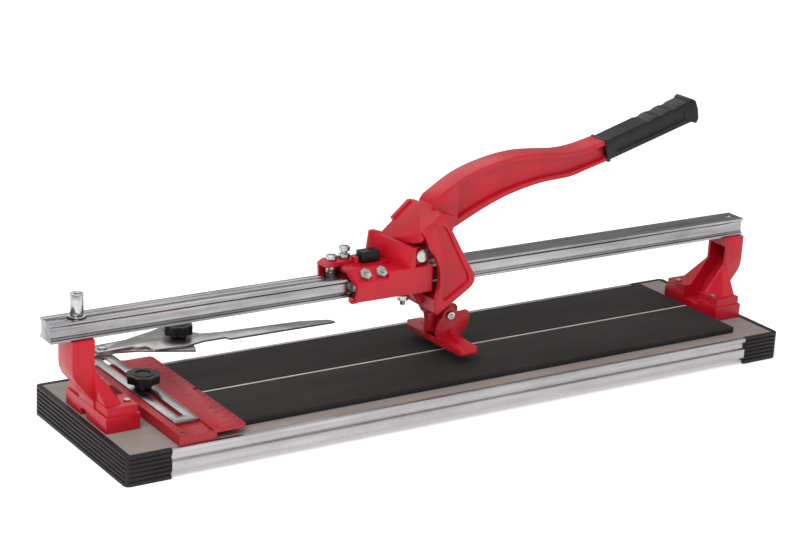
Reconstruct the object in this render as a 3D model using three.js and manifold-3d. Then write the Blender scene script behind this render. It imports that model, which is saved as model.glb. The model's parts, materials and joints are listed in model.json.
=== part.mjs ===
// Tile cutter: a long base board with two rubber-faced pads, an aluminium guide rail on two cast posts, a
// scoring and breaking carriage with its lever, a measuring fence with a slotted bar, and a swinging angle blade.
// Millimetres. Origin: centre of the base on the bench. +X runs along the rail, +Y to the rear, +Z up.
import * as THREE from "three";
import { ConvexGeometry } from "three/addons/geometries/ConvexGeometry.js";
import { mergeVertices } from "three/addons/utils/BufferGeometryUtils.js";
import Module from "manifold-3d";

const wasm = await Module();
wasm.setup();

// ---- driving sizes -------------------------------------------------------------------------------------
const GAP = 0.3; // fitting gap between pieces that rest on or in one another

const BASE_LENGTH = 800;
const HALF_LENGTH = BASE_LENGTH / 2;
const BASE_WIDTH = 204.4;
const BASE_TOP = 30.3; // top of the board over the bench
const BASE_UNDER = 8.5; // underside of the board over the bench
const CAP_WRAP = 47.5; // length of an end cap along the long side
const CAP_END_WALL = 6;
const CAP_SIDE_WALL = 4.4;
const CAP_TOP = 30.8;
const CAP_FLOOR = 3;
const CAP_RIBS = 7;
const CAP_GROOVE_DEPTH = 1.2;
const CAP_GROOVE_HEIGHT = 1.5;
const CAP_CORNER = 5; // cut across the outer corners of a cap, in plan

const PROFILE_UNDER = 7.5;
const PROFILE_TOP = BASE_TOP;
const PROFILE_THICKNESS = 4.2;
const PROFILE_GROOVE = [17.5, 26]; // heights of the long groove
const PROFILE_GROOVE_DEPTH = 2.8;

const PAD_TOP = 37;
const PAD_HALF_SPAN = 82; // from the rail's centre plane to a pad's outer edge
const PAD_CENTRE_GAP = 4.4; // gap between the pads where the ridge stands
const PAD_RIGHT_END = HALF_LENGTH - 48.2;
const RIDGE_WIDTH = 2.6;
const RIDGE_TOP = 36.6;

const RAIL_WIDTH = 25;
const RAIL_HEIGHT = 19.5;
const RAIL_TOP = 135.5;
const RAIL_WAIST = RAIL_WIDTH - 5.6; // width between the side grooves
const RAIL_FLANGE = 2.6; // height of a flange's edge
const RAIL_WAIST_HEIGHT = 7.4;
const COVE_STEPS = 5;
const RAIL_OVERHANG = 20; // rail past the left post
const RAIL_SCRIBE = [4.6, 5.6, 0.6]; // fine groove in the top face: from, to, depth

const POST_OUTER_X = HALF_LENGTH + 14; // outer face of a post's column from the centre
const POST_COLUMN = 23;
const POST_COLUMN_WIDTH = 32;
const POST_FOOT_X = [HALF_LENGTH - 43, HALF_LENGTH - 7.5];
const POST_FOOT_WIDTH = 89;
const POST_LOWER_TIER = 16; // height of the wide tier of a foot
const POST_FOOT_HEIGHT = 24.5;
const POST_TIER_STEP = 2;
const POST_WALL = 3.6;
const POST_COLLAR = 11;
const POST_BEND_TOP = 85; // height where the column starts to lean inwards
const POST_LEAN = 0.8; // how far the column leans in for each millimetre down
const POST_CHANNEL_FLOOR = 41; // floor of the channel between the foot's two bosses
const GUSSET_REACH = 37; // a gusset's end from the rail's centre plane
const POST_NOTCH_RADIUS = 6.5;
const POST_NOTCH_Y = 5;
const SCREW_X = HALF_LENGTH - 36;
const SCREW_Y = 30;
const SCREW_HEAD = 3.4;
const SCREW_HEAD_HEIGHT = 1.4;

const STUD_RADIUS = 6.5;
const STUD_HEIGHT = 23;
const STUD_WASHER_RADIUS = 9.4;
const STUD_WASHER_HEIGHT = 1.8;
const RAIL_BOLT_RADIUS = 5.6;

const FENCE_LEFT = 56 - HALF_LENGTH;
const FENCE_BODY = 39.7; // width of the fence's thick body
const FENCE_WING = 31.8; // reach of the thin ruler wing over the pads
const FENCE_HALF_SPAN = 99.8;
const FENCE_TOP = 41.7;
const WING_THICKNESS = 3.9;
const CHANNEL_DEPTH = 2.4;
const FENCE_NOTCH = [6, 5]; // ruler edge notch over the ridge: width, depth

const BAR_X = FENCE_LEFT + 22;
const BAR_WIDTH = 27;
const BAR_THICKNESS = 3.4;
const BAR_Y = [-72, 134];
const SLOT_WIDTH = 6;
const SLOT_Y = [-60, 112];
const KNOB_Y = 20;
const KNOB_LOBES = 8;
const KNOB_RADIUS = 17;
const KNOB_HEAD_HEIGHT = 9;
const KNOB_HUB_RADIUS = 8.5;
const KNOB_HUB_HEIGHT = 6.5;
const KNOB_STUD_RADIUS = 2.5;

const BLADE_PIVOT = [BAR_X + 6, 124];
const QUADRANT_THICKNESS = 2.2;
const BLADE_THICKNESS = 2.2;
const ARC_RADIUS = 86;
const ARC_HALF_ANGLE = THREE.MathUtils.degToRad(15);
const RIVET_RADIUS = 2.4;
const SMALL_KNOB_RADIUS = 15.5;
const SMALL_KNOB_HUB_HEIGHT = 3;
const SMALL_KNOB_HEAD_HEIGHT = 11.5;

const CARRIAGE_X = [-107, -17]; // ends of the carriage's rail housing at rest
const CARRIAGE_HALF_WIDTH = RAIL_WIDTH / 2 + 12;
const ROLLER_RADIUS = 5.1;
const ROLLER_HEIGHT = 7;
const ROLLER_BOLT_RADIUS = 2.2;
const ROLLER_PLAY = 0.3;
const FRONT_ROLLERS_X = [-101, -78, -46];
const REAR_ROLLERS_X = [-115, -100, -46];
const CARRIAGE_DECK = 5; // thickness of the deck over the rail
const CARRIAGE_ROOF_GAP = 0.8; // between the rail's top and the deck
const LIP_GAP = 0.9; // between the rail's underside and the lips
const LIP_OUTER = 113.6; // underside of a lip at the wall, and at its tip
const LIP_INNER = 109.4;
const LIP_UNDER = 111.6; // seat of the nuts under the lips
const LIP_REACH = 8; // lips stop this far from the centre plane
const HOUSING_WALL = 4;
const STEP_X = -70; // right end of the chamfered part
const HIGH_DECK = 145.3; // top of the deck between the chamfer and the arm
const CHAMFER_FOOT = 133; // height where the 45 degree chamfer starts
const BEAK = 5; // how far the chamfer's upper end reaches left of the wall
const ADJUSTERS_X = [-96, -77];
const ADJUSTER_RADIUS = 2.9;
const ARM_X = [-126, -91];
const ARM_FRONT_Y = 6;
const ARM_TOP = 148.5;
const SPACER_RADIUS = 6;
const LOW_BOLT_X = -46; // rollers here hang on bolts with their nuts under the lips
const CROSS_FRONT_X = -38.5; // right face of the cross plate at the front and the rear
const CROSS_REAR_X = -60;
const CROSS_THICKNESS = 5;
const CROSS_FRONT_TOP = 162.5;
const CROWN_CLEARANCE = 1.8; // between the cross plate and the lever's crown at rest
const CROSS_REAR_TOP = 171.5;
const BUMPER = [21.5, 12.5, 11.6]; // length, width, height of the bumper block
const BUMPER_X = -88.4;
const BUMPER_Y = -1;
const BOLT_HEAD = 6.3; // radius over the corners of a hexagon head
const BOLT_HEAD_HEIGHT = 4.6;

const PIVOT = [-28, 152]; // lever pivot at rest: x and z
const PIVOT_BOLT_RADIUS = 4;
const PIVOT_HEAD_RADIUS = 7.2;
const LUG_THICKNESS = 5.6;
const HUB_HALF_WIDTH = 11;
const HUB_RADIUS = 8.4;
const YOKE_OUTER = CARRIAGE_HALF_WIDTH + 6.5; // half width over the yoke plates
const YOKE_PLATE = 5.6;
const YOKE_RECESS = 3.2;
const ARM_HALF_WIDTH = 12;
const ARM_POCKET = 5; // depth of the long hollow in each side of the arm
const FLANGE = 5; // thickness of the arm's top flange
const WEB_HALF_WIDTH = 4;

const GRIP_START = [207.5, 235.2]; // centre of the grip's mouth
const GRIP_ANGLE = THREE.MathUtils.degToRad(16);
const GRIP_LENGTH = 126;
const GRIP_HALF_WIDTH = 12.6;
const GRIP_MOUTH = 25.4; // height at the mouth
const GRIP_END = 29; // height at the far end
const GRIP_WAIST = 1.2; // how far the grip's flanks stand in from its collar and flange
const FINGERS = [62, 80, 98]; // places of the finger hollows along the grip
const FINGER_RADIUS = 13;
const FINGER_DEPTH = 2.6;
const TANG = [50, 12, 12]; // length, width, height of the lever's tang inside the grip

const WHEEL_CENTRE = [13, 52];
const WHEEL_RADIUS = 5.2;
const WHEEL_WIDTH = 2;
const WHEEL_AXLE_RADIUS = 1.8;

const FOOT_PIVOT = [15.6, 78.6];
const FOOT_PIN_RADIUS = 3.2;
const FOOT_CHEEK = 5;
const FOOT_CHEEK_INNER = 8.6; // inner faces of the cheeks from the centre plane
const FOOT_BAR_X = [2.5, 27];
const FOOT_BAR_Z = [47.4, 55];
const FOOT_HALF_SPAN = 53;
const FOOT_WALL = 2.5; // wall of the foot in front of the wheel
const FOOT_TIP = 6.4; // thickness of a wing at its tip
const FOOT_TOP_RADIUS = 8.8; // of the cheeks round the pin

// ---- materials -----------------------------------------------------------------------------------------
function finish(colour, roughness, metalness) {
  return new THREE.MeshStandardMaterial({ color: colour, roughness, metalness });
}
const red = finish(0xc9222f, 0.42, 0.0);
const aluminium = finish(0xc4c4c8, 0.38, 1.0);
const steel = finish(0xcfd0d2, 0.25, 1.0);
const board = finish(0xa3978f, 0.75, 0.0);
const rubber = finish(0x3b3637, 0.85, 0.0);
const blackPlastic = finish(0x262124, 0.55, 0.0);
const paleStrip = finish(0xcbc4be, 0.5, 0.0);

// ---- solids --------------------------------------------------------------------------------------------
function solid(geometry) {
  const bare = geometry.index ? geometry.toNonIndexed() : geometry.clone();
  bare.deleteAttribute("normal");
  bare.deleteAttribute("uv");
  const merged = mergeVertices(bare, 1e-3);
  const mesh = new wasm.Mesh({
    numProp: 3,
    vertProperties: merged.attributes.position.array,
    triVerts: new Uint32Array(merged.index.array),
  });
  return new wasm.Manifold(mesh);
}

function geometryOf(made) {
  const mesh = made.getMesh();
  const geometry = new THREE.BufferGeometry();
  geometry.setAttribute("position", new THREE.BufferAttribute(Float32Array.from(mesh.vertProperties), 3));
  geometry.setIndex(new THREE.BufferAttribute(Uint32Array.from(mesh.triVerts), 1));
  const flat = geometry.toNonIndexed();
  flat.computeVertexNormals();
  return flat;
}

function place(parent, name, made, material) {
  const mesh = new THREE.Mesh(geometryOf(made), material);
  mesh.name = name;
  parent.add(mesh);
  return mesh;
}

function union(...parts) {
  return parts.reduce((whole, part) => whole.add(part));
}

function box(x0, x1, y0, y1, z0, z1) {
  const geometry = new THREE.BoxGeometry(x1 - x0, y1 - y0, z1 - z0);
  geometry.translate((x0 + x1) / 2, (y0 + y1) / 2, (z0 + z1) / 2);
  return solid(geometry);
}

function outline(points) {
  if (points instanceof THREE.Shape) return points;
  return new THREE.Shape(points.map(([a, b]) => new THREE.Vector2(a, b)));
}

// A shape drawn in X and Y, standing from z0 to z1.
function plate(points, z0, z1, curveSegments = 8) {
  const shape = outline(points);
  const geometry = new THREE.ExtrudeGeometry(shape, { depth: z1 - z0, bevelEnabled: false, curveSegments });
  geometry.translate(0, 0, z0);
  return solid(geometry);
}

// A shape drawn in X and Z, running from y0 to y1.
function slab(points, y0, y1, curveSegments = 8) {
  const shape = outline(points);
  const geometry = new THREE.ExtrudeGeometry(shape, { depth: y1 - y0, bevelEnabled: false, curveSegments });
  geometry.rotateX(Math.PI / 2);
  geometry.translate(0, y1, 0);
  return solid(geometry);
}

// A shape drawn in Y and Z, running from x0 to x1.
function beam(points, x0, x1) {
  const shape = outline(points);
  const geometry = new THREE.ExtrudeGeometry(shape, { depth: x1 - x0, bevelEnabled: false });
  const basis = new THREE.Matrix4();
  basis.makeBasis(new THREE.Vector3(0, 1, 0), new THREE.Vector3(0, 0, 1), new THREE.Vector3(1, 0, 0));
  geometry.applyMatrix4(basis);
  geometry.translate(x0, 0, 0);
  return solid(geometry);
}

// A round bar standing on Z at (x, y).
function post(x, y, radius, z0, z1, sides = 28) {
  const geometry = new THREE.CylinderGeometry(radius, radius, z1 - z0, sides);
  geometry.rotateX(Math.PI / 2);
  geometry.translate(x, y, (z0 + z1) / 2);
  return solid(geometry);
}

// A round bar lying on Y through (x, z).
function pin(x, z, radius, y0, y1, sides = 28) {
  const geometry = new THREE.CylinderGeometry(radius, radius, y1 - y0, sides);
  geometry.translate(x, (y0 + y1) / 2, z);
  return solid(geometry);
}

// A rounded slot outline along Y, centred on x.
function slotOutline(x, y0, y1, width) {
  const radius = width / 2;
  const shape = new THREE.Shape();
  shape.moveTo(x + radius, y0 + radius);
  shape.lineTo(x + radius, y1 - radius);
  shape.absarc(x, y1 - radius, radius, 0, Math.PI, false);
  shape.lineTo(x - radius, y0 + radius);
  shape.absarc(x, y0 + radius, radius, Math.PI, 2 * Math.PI, false);
  return shape;
}

function mirrorX(made) {
  return made.mirror([1, 0, 0]);
}

function mirrorY(made) {
  return made.mirror([0, 1, 0]);
}

// ---- base ----------------------------------------------------------------------------------------------
const HALF_WIDTH = BASE_WIDTH / 2;
const PAD_UNDER = BASE_TOP + GAP;
const FENCE_BODY_RIGHT = FENCE_LEFT + FENCE_BODY;
const PAD_LEFT_END = FENCE_BODY_RIGHT + 0.5;

function leftCap() {
  const inner = -HALF_LENGTH + CAP_WRAP;
  const block = box(-HALF_LENGTH, inner, -HALF_WIDTH, HALF_WIDTH, 0, CAP_TOP);
  const pocket = box(
    -HALF_LENGTH + CAP_END_WALL,
    inner + 1,
    -HALF_WIDTH + CAP_SIDE_WALL,
    HALF_WIDTH - CAP_SIDE_WALL,
    BASE_UNDER - GAP,
    CAP_TOP + 1,
  );
  const under = box(
    -HALF_LENGTH + CAP_END_WALL,
    inner + 1,
    -HALF_WIDTH + CAP_SIDE_WALL,
    HALF_WIDTH - CAP_SIDE_WALL,
    -1,
    CAP_FLOOR,
  );
  const plan = plate(
    [
      [-HALF_LENGTH + CAP_CORNER, -HALF_WIDTH],
      [inner, -HALF_WIDTH],
      [inner, HALF_WIDTH],
      [-HALF_LENGTH + CAP_CORNER, HALF_WIDTH],
      [-HALF_LENGTH + CAP_CORNER * 0.3, HALF_WIDTH - CAP_CORNER * 0.3],
      [-HALF_LENGTH, HALF_WIDTH - CAP_CORNER],
      [-HALF_LENGTH, -HALF_WIDTH + CAP_CORNER],
      [-HALF_LENGTH + CAP_CORNER * 0.3, -HALF_WIDTH + CAP_CORNER * 0.3],
    ],
    -1,
    CAP_TOP + 1,
  );
  let cap = block.intersect(plan).subtract(pocket).subtract(under);
  const pitch = CAP_TOP / CAP_RIBS;
  for (let rib = 1; rib < CAP_RIBS; rib++) {
    const z = rib * pitch;
    const skin = box(-HALF_LENGTH - 1, inner + 1, -HALF_WIDTH - 1, HALF_WIDTH + 1, z, z + CAP_GROOVE_HEIGHT);
    const core = box(
      -HALF_LENGTH + CAP_GROOVE_DEPTH,
      inner + 2,
      -HALF_WIDTH + CAP_GROOVE_DEPTH,
      HALF_WIDTH - CAP_GROOVE_DEPTH,
      z - 1,
      z + CAP_GROOVE_HEIGHT + 1,
    );
    cap = cap.subtract(skin.subtract(core));
  }
  return cap;
}

function frontProfile() {
  const outer = -HALF_WIDTH;
  const inner = outer + PROFILE_THICKNESS;
  const [g0, g1] = PROFILE_GROOVE;
  const end = HALF_LENGTH - CAP_WRAP - GAP;
  const section = [
    [outer, PROFILE_UNDER],
    [inner, PROFILE_UNDER],
    [inner, PROFILE_TOP],
    [outer, PROFILE_TOP],
    [outer, g1],
    [outer + PROFILE_GROOVE_DEPTH, g1 - 1],
    [outer + PROFILE_GROOVE_DEPTH, g0 + 1],
    [outer, g0],
  ];
  return beam(section, -end, end);
}

function buildBase(group) {
  const boardX = HALF_LENGTH - CAP_END_WALL - GAP;
  const boardY = HALF_WIDTH - CAP_SIDE_WALL - GAP;
  place(group, "base_board", box(-boardX, boardX, -boardY, boardY, BASE_UNDER, BASE_TOP), board);
  const profile = frontProfile();
  place(group, "front_edge_profile", profile, aluminium);
  place(group, "rear_edge_profile", mirrorY(profile), aluminium);
  const cap = leftCap();
  place(group, "left_end_cap", cap, blackPlastic);
  place(group, "right_end_cap", mirrorX(cap), blackPlastic);
  const inner = PAD_CENTRE_GAP / 2;
  const pad = box(PAD_LEFT_END, PAD_RIGHT_END, -PAD_HALF_SPAN, -inner, PAD_UNDER, PAD_TOP);
  place(group, "front_pad", pad, rubber);
  place(group, "rear_pad", mirrorY(pad), rubber);
  const half = RIDGE_WIDTH / 2;
  const ridge = box(PAD_LEFT_END, PAD_RIGHT_END, -half, half, PAD_UNDER, RIDGE_TOP);
  place(group, "breaking_ridge", ridge, paleStrip);
}

// ---- rail and posts ------------------------------------------------------------------------------------
const RAIL_UNDER = RAIL_TOP - RAIL_HEIGHT;
const RAIL_MIDDLE = RAIL_TOP - RAIL_HEIGHT / 2;
const POST_TOP = RAIL_UNDER - GAP;
const POST_CENTRE_X = POST_OUTER_X - POST_COLUMN / 2;
const POST_UNDER = BASE_TOP + GAP;
const POST_LOWER_TOP = POST_UNDER + POST_LOWER_TIER;
const POST_FOOT_TOP = POST_UNDER + POST_FOOT_HEIGHT;

// A hollow quarter curve from a flange's edge in to the waist.
function cove([y0, z0], [y1, z1]) {
  const points = [];
  for (let i = 0; i <= COVE_STEPS; i++) {
    const angle = ((i / COVE_STEPS) * Math.PI) / 2;
    points.push([y0 + (y1 - y0) * Math.sin(angle), z0 + (z1 - z0) * (1 - Math.cos(angle))]);
  }
  return points;
}

function railSection() {
  const half = RAIL_WIDTH / 2;
  const waist = RAIL_WAIST / 2;
  const band = RAIL_WAIST_HEIGHT / 2;
  const [s0, s1, depth] = RAIL_SCRIBE;
  const lowerCove = cove([half, RAIL_UNDER + RAIL_FLANGE], [waist, RAIL_MIDDLE - band]);
  const upperCove = lowerCove.map(([y, z]) => [y, 2 * RAIL_MIDDLE - z]).reverse();
  const side = [[half, RAIL_UNDER], ...lowerCove, ...upperCove, [half, RAIL_TOP]];
  const scribe = [
    [s1, RAIL_TOP],
    [s1, RAIL_TOP - depth],
    [s0, RAIL_TOP - depth],
    [s0, RAIL_TOP],
  ];
  const left = side.map(([y, z]) => [-y, z]).reverse();
  return [...side, ...scribe, ...left];
}

function guideRail() {
  const left = -POST_OUTER_X - RAIL_OVERHANG;
  const rail = beam(railSection(), left, POST_OUTER_X);
  const bore = post(-POST_CENTRE_X, 0, STUD_RADIUS / 2 + GAP, RAIL_UNDER - 1, RAIL_TOP + 1);
  const sink = post(POST_CENTRE_X, 0, RAIL_BOLT_RADIUS + GAP, RAIL_TOP - 4, RAIL_TOP + 1);
  return rail.subtract(bore).subtract(sink);
}

// The right-hand post: a hollow leaning column open on its inner side, with gussets down to a two-tier foot.
function rightPost() {
  const inner = POST_OUTER_X - POST_COLUMN;
  const half = POST_COLUMN_WIDTH / 2;
  const [footIn, footOut] = POST_FOOT_X;
  const lean = inner - (POST_BEND_TOP - POST_FOOT_TOP) * POST_LEAN;
  const step = POST_TIER_STEP;
  const column = [
    [inner, POST_TOP],
    [inner, POST_BEND_TOP],
    [lean, POST_FOOT_TOP],
    [lean, POST_UNDER + step],
    [footOut - 1, POST_UNDER + step],
    [footOut, POST_FOOT_TOP - 1],
    [POST_OUTER_X - 4, POST_BEND_TOP - 10],
    [POST_OUTER_X - 0.8, POST_BEND_TOP - 3],
    [POST_OUTER_X, POST_BEND_TOP + 4],
    [POST_OUTER_X, POST_TOP],
  ];
  const hollow = [
    [inner - 3, POST_TOP - POST_COLLAR],
    [inner - 3, POST_BEND_TOP - 2],
    [footIn - 2, POST_FOOT_TOP - 4],
    [footIn - 2, POST_CHANNEL_FLOOR],
    [footOut - 10, POST_CHANNEL_FLOOR],
    [footOut - 3, POST_FOOT_TOP + 2],
    [POST_OUTER_X - 8, POST_BEND_TOP - 8],
    [POST_OUTER_X - POST_WALL, POST_BEND_TOP + 3],
    [POST_OUTER_X - POST_WALL, POST_TOP - POST_COLLAR],
  ];
  const halfFoot = POST_FOOT_WIDTH / 2;
  const lower = box(footIn, footOut, -halfFoot, halfFoot, POST_UNDER, POST_LOWER_TOP);
  const upperX = [footIn + step, footOut - step];
  const upper = box(...upperX, -halfFoot + step, halfFoot - step, POST_LOWER_TOP - 1, POST_FOOT_TOP);
  const shell = union(slab(column, -half, half), lower, upper, gusset(lean, 1), gusset(lean, -1));
  const cavity = slab(hollow, -half + POST_WALL, half - POST_WALL);
  const notchTop = POST_UNDER + 8;
  const notch = beam(
    [
      [POST_NOTCH_Y - POST_NOTCH_RADIUS, POST_UNDER - 1],
      [POST_NOTCH_Y + POST_NOTCH_RADIUS, POST_UNDER - 1],
      [POST_NOTCH_Y + POST_NOTCH_RADIUS, notchTop - 3],
      [POST_NOTCH_Y + POST_NOTCH_RADIUS - 2.5, notchTop],
      [POST_NOTCH_Y - POST_NOTCH_RADIUS + 2.5, notchTop],
      [POST_NOTCH_Y - POST_NOTCH_RADIUS, notchTop - 3],
    ],
    footOut - 8,
    footOut + 4,
  );
  const bore = post(POST_CENTRE_X, 0, STUD_RADIUS / 2 + GAP, POST_TOP - POST_COLLAR - 1, POST_TOP + 1);
  let made = shell.subtract(cavity).subtract(notch).subtract(bore);
  for (const side of [-1, 1]) {
    const hole = post(SCREW_X, side * SCREW_Y, SCREW_HEAD / 2 + GAP, POST_FOOT_TOP - 12, POST_FOOT_TOP + 1);
    made = made.subtract(hole);
  }
  return made;
}

// A wedge that braces the leaning column to one end of the foot.
function gusset(lean, side) {
  const inner = POST_OUTER_X - POST_COLUMN;
  const footOut = POST_FOOT_X[1];
  const face = POST_COLUMN_WIDTH / 2;
  const corners = [
    [inner + 1, face, POST_BEND_TOP],
    [inner - 1, face - 3, POST_BEND_TOP],
    [inner + 4, face - 3, POST_BEND_TOP - 2],
    [lean, face - 3, POST_FOOT_TOP - 1],
    [lean, face, POST_FOOT_TOP - 1],
    [lean + 5, GUSSET_REACH, POST_FOOT_TOP - 1],
    [footOut - POST_TIER_STEP - 1, GUSSET_REACH, POST_FOOT_TOP - 1],
    [footOut - POST_TIER_STEP - 1, face - 3, POST_FOOT_TOP - 1],
  ];
  return solid(new ConvexGeometry(corners.map(([x, y, z]) => new THREE.Vector3(x, side * y, z))));
}

function postScrew(x, y) {
  const under = POST_FOOT_TOP + GAP;
  const head = post(x, y, SCREW_HEAD, under, under + SCREW_HEAD_HEIGHT, 24);
  const socket = post(x, y, SCREW_HEAD * 0.45, under + 1, under + SCREW_HEAD_HEIGHT + 1, 6);
  const shank = post(x, y, SCREW_HEAD / 2, POST_FOOT_TOP - 11, under + 0.5, 20);
  return head.subtract(socket).add(shank);
}

function railStud() {
  const under = RAIL_TOP + GAP + STUD_WASHER_HEIGHT + GAP;
  const body = post(-POST_CENTRE_X, 0, STUD_RADIUS, under, RAIL_TOP + STUD_HEIGHT, 36);
  const top = RAIL_TOP + STUD_HEIGHT;
  const socket = post(-POST_CENTRE_X, 0, STUD_RADIUS * 0.5, top - 5, top + 1, 6);
  const shank = post(-POST_CENTRE_X, 0, STUD_RADIUS / 2, POST_TOP - POST_COLLAR + 1, under + 1, 24);
  return body.subtract(socket).add(shank);
}

function railBolt() {
  const head = post(POST_CENTRE_X, 0, RAIL_BOLT_RADIUS, RAIL_TOP - 3.7, RAIL_TOP - 0.6, 32);
  const socket = post(POST_CENTRE_X, 0, RAIL_BOLT_RADIUS * 0.45, RAIL_TOP - 2.6, RAIL_TOP, 6);
  return head.subtract(socket);
}

function buildRail(group) {
  place(group, "guide_rail", guideRail(), aluminium);
  const made = rightPost();
  place(group, "right_post", made, red);
  place(group, "left_post", mirrorX(made), red);
  for (const [side, sign] of [["left", -1], ["right", 1]]) {
    for (const [end, ySign] of [["front", -1], ["rear", 1]]) {
      place(group, `${side}_post_screw_${end}`, postScrew(sign * SCREW_X, ySign * SCREW_Y), steel);
    }
  }
  const hole = STUD_RADIUS / 2 + GAP;
  const under = RAIL_TOP + GAP;
  const washer = post(-POST_CENTRE_X, 0, STUD_WASHER_RADIUS, under, under + STUD_WASHER_HEIGHT, 36).subtract(
    post(-POST_CENTRE_X, 0, hole, under - 1, under + STUD_WASHER_HEIGHT + 1),
  );
  place(group, "rail_stud_washer", washer, steel);
  place(group, "rail_stud", railStud(), steel);
  place(group, "rail_bolt", railBolt(), steel);
}

// ---- fence, slotted bar and angle blade ----------------------------------------------------------------
const FENCE_UNDER = BASE_TOP + GAP;
const CHANNEL_FLOOR = FENCE_TOP - CHANNEL_DEPTH;
const BAR_UNDER = CHANNEL_FLOOR + GAP;
const BAR_TOP = BAR_UNDER + BAR_THICKNESS;
const QUADRANT_UNDER = BAR_TOP + GAP;
const QUADRANT_TOP = QUADRANT_UNDER + QUADRANT_THICKNESS;
const BLADE_UNDER = QUADRANT_TOP + GAP;
const BLADE_TOP = BLADE_UNDER + BLADE_THICKNESS;

function fence() {
  const right = FENCE_BODY_RIGHT + FENCE_WING;
  const [notchWidth, notchDepth] = FENCE_NOTCH;
  const wingUnder = PAD_TOP + GAP;
  const body = box(FENCE_LEFT, FENCE_BODY_RIGHT, -FENCE_HALF_SPAN, FENCE_HALF_SPAN, FENCE_UNDER, FENCE_TOP);
  const wing = plate(
    [
      [FENCE_BODY_RIGHT - 1, -FENCE_HALF_SPAN],
      [right - 1.5, -FENCE_HALF_SPAN],
      [right, -FENCE_HALF_SPAN + 3],
      [right, -notchWidth / 2],
      [right - notchDepth, -notchWidth / 2],
      [right - notchDepth, notchWidth / 2],
      [right, notchWidth / 2],
      [right, FENCE_HALF_SPAN - 4],
      [right - 2, FENCE_HALF_SPAN],
      [FENCE_BODY_RIGHT - 1, FENCE_HALF_SPAN],
    ],
    wingUnder,
    wingUnder + WING_THICKNESS,
  );
  const channel = box(
    BAR_X - BAR_WIDTH / 2 - GAP,
    BAR_X + BAR_WIDTH / 2 + GAP,
    -FENCE_HALF_SPAN - 1,
    FENCE_HALF_SPAN + 1,
    CHANNEL_FLOOR,
    FENCE_TOP + 1,
  );
  const hole = post(BAR_X, KNOB_Y, KNOB_STUD_RADIUS + GAP, FENCE_UNDER + 2, FENCE_TOP);
  let made = union(body, wing).subtract(channel).subtract(hole);
  for (const x of [FENCE_LEFT + 5, FENCE_BODY_RIGHT + 4]) {
    made = made.subtract(post(x, -FENCE_HALF_SPAN + 6, 1.3, FENCE_TOP - 6, FENCE_TOP + 1, 12));
  }
  return made;
}

function slottedBar() {
  const [y0, y1] = BAR_Y;
  const half = BAR_WIDTH / 2;
  const shape = outline([
    [BAR_X - half + 1, y0],
    [BAR_X + half - 1, y0],
    [BAR_X + half, y0 + 1],
    [BAR_X + half, y1 - 8],
    [BAR_X + half - 8, y1],
    [BAR_X - half + 8, y1],
    [BAR_X - half, y1 - 8],
    [BAR_X - half, y0 + 1],
  ]);
  shape.holes.push(slotOutline(BAR_X, ...SLOT_Y, SLOT_WIDTH));
  const [px, py] = BLADE_PIVOT;
  return plate(shape, BAR_UNDER, BAR_TOP).subtract(post(px, py, RIVET_RADIUS + GAP, BAR_UNDER - 1, BAR_TOP + 1));
}

// A lobed hand knob standing on Z with its stud below.
function lobedKnob(radius, lobes, z0, hubHeight, hubRadius, headHeight, studEnd) {
  const points = [];
  const steps = lobes * 8;
  for (let i = 0; i < steps; i++) {
    const angle = (i / steps) * 2 * Math.PI;
    const r = radius * (0.94 + 0.06 * Math.cos(lobes * angle));
    points.push([r * Math.cos(angle), r * Math.sin(angle)]);
  }
  const headUnder = z0 + hubHeight;
  const head = plate(points, headUnder, headUnder + headHeight - 1).add(
    post(0, 0, radius * 0.62, headUnder, headUnder + headHeight, 36),
  );
  const dish = post(0, 0, radius * 0.45, headUnder + headHeight - 1.4, headUnder + headHeight + 1, 32);
  const hub = post(0, 0, hubRadius, z0, headUnder + 1, 28);
  const stud = post(0, 0, KNOB_STUD_RADIUS, studEnd, z0 + 1, 20);
  return union(head.subtract(dish), hub, stud);
}

// A band of plate between two radii round the blade's pivot.
function arcBand(inner, outer, from, to, steps) {
  const [px, py] = BLADE_PIVOT;
  const points = [];
  for (let i = 0; i <= steps; i++) {
    const a = from + ((to - from) * i) / steps;
    points.push([px + outer * Math.cos(a), py + outer * Math.sin(a)]);
  }
  for (let i = steps; i >= 0; i--) {
    const a = from + ((to - from) * i) / steps;
    points.push([px + inner * Math.cos(a), py + inner * Math.sin(a)]);
  }
  return points;
}

function quadrantPlate() {
  const [px, py] = BLADE_PIVOT;
  const reach = ARC_RADIUS + 9;
  const wide = ARC_HALF_ANGLE * 1.6;
  const sector = plate(arcBand(40, reach, -wide, wide, 14), QUADRANT_UNDER, QUADRANT_TOP);
  const arm = plate(
    [
      [px - 13, py - 9],
      [px + 12, py - 9],
      [px + 44, py - 17],
      [px + 44, py + 17],
      [px + 12, py + 9],
      [px - 13, py + 9],
    ],
    QUADRANT_UNDER,
    QUADRANT_TOP,
  );
  const half = KNOB_STUD_RADIUS + GAP;
  const slot = plate(
    arcBand(ARC_RADIUS - half, ARC_RADIUS + half, -ARC_HALF_ANGLE * 1.15, ARC_HALF_ANGLE * 1.15, 14),
    QUADRANT_UNDER - 1,
    QUADRANT_TOP + 1,
  );
  const hole = post(px, py, RIVET_RADIUS + GAP, QUADRANT_UNDER - 1, QUADRANT_TOP + 1);
  return union(sector, arm).subtract(slot).subtract(hole);
}

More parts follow.
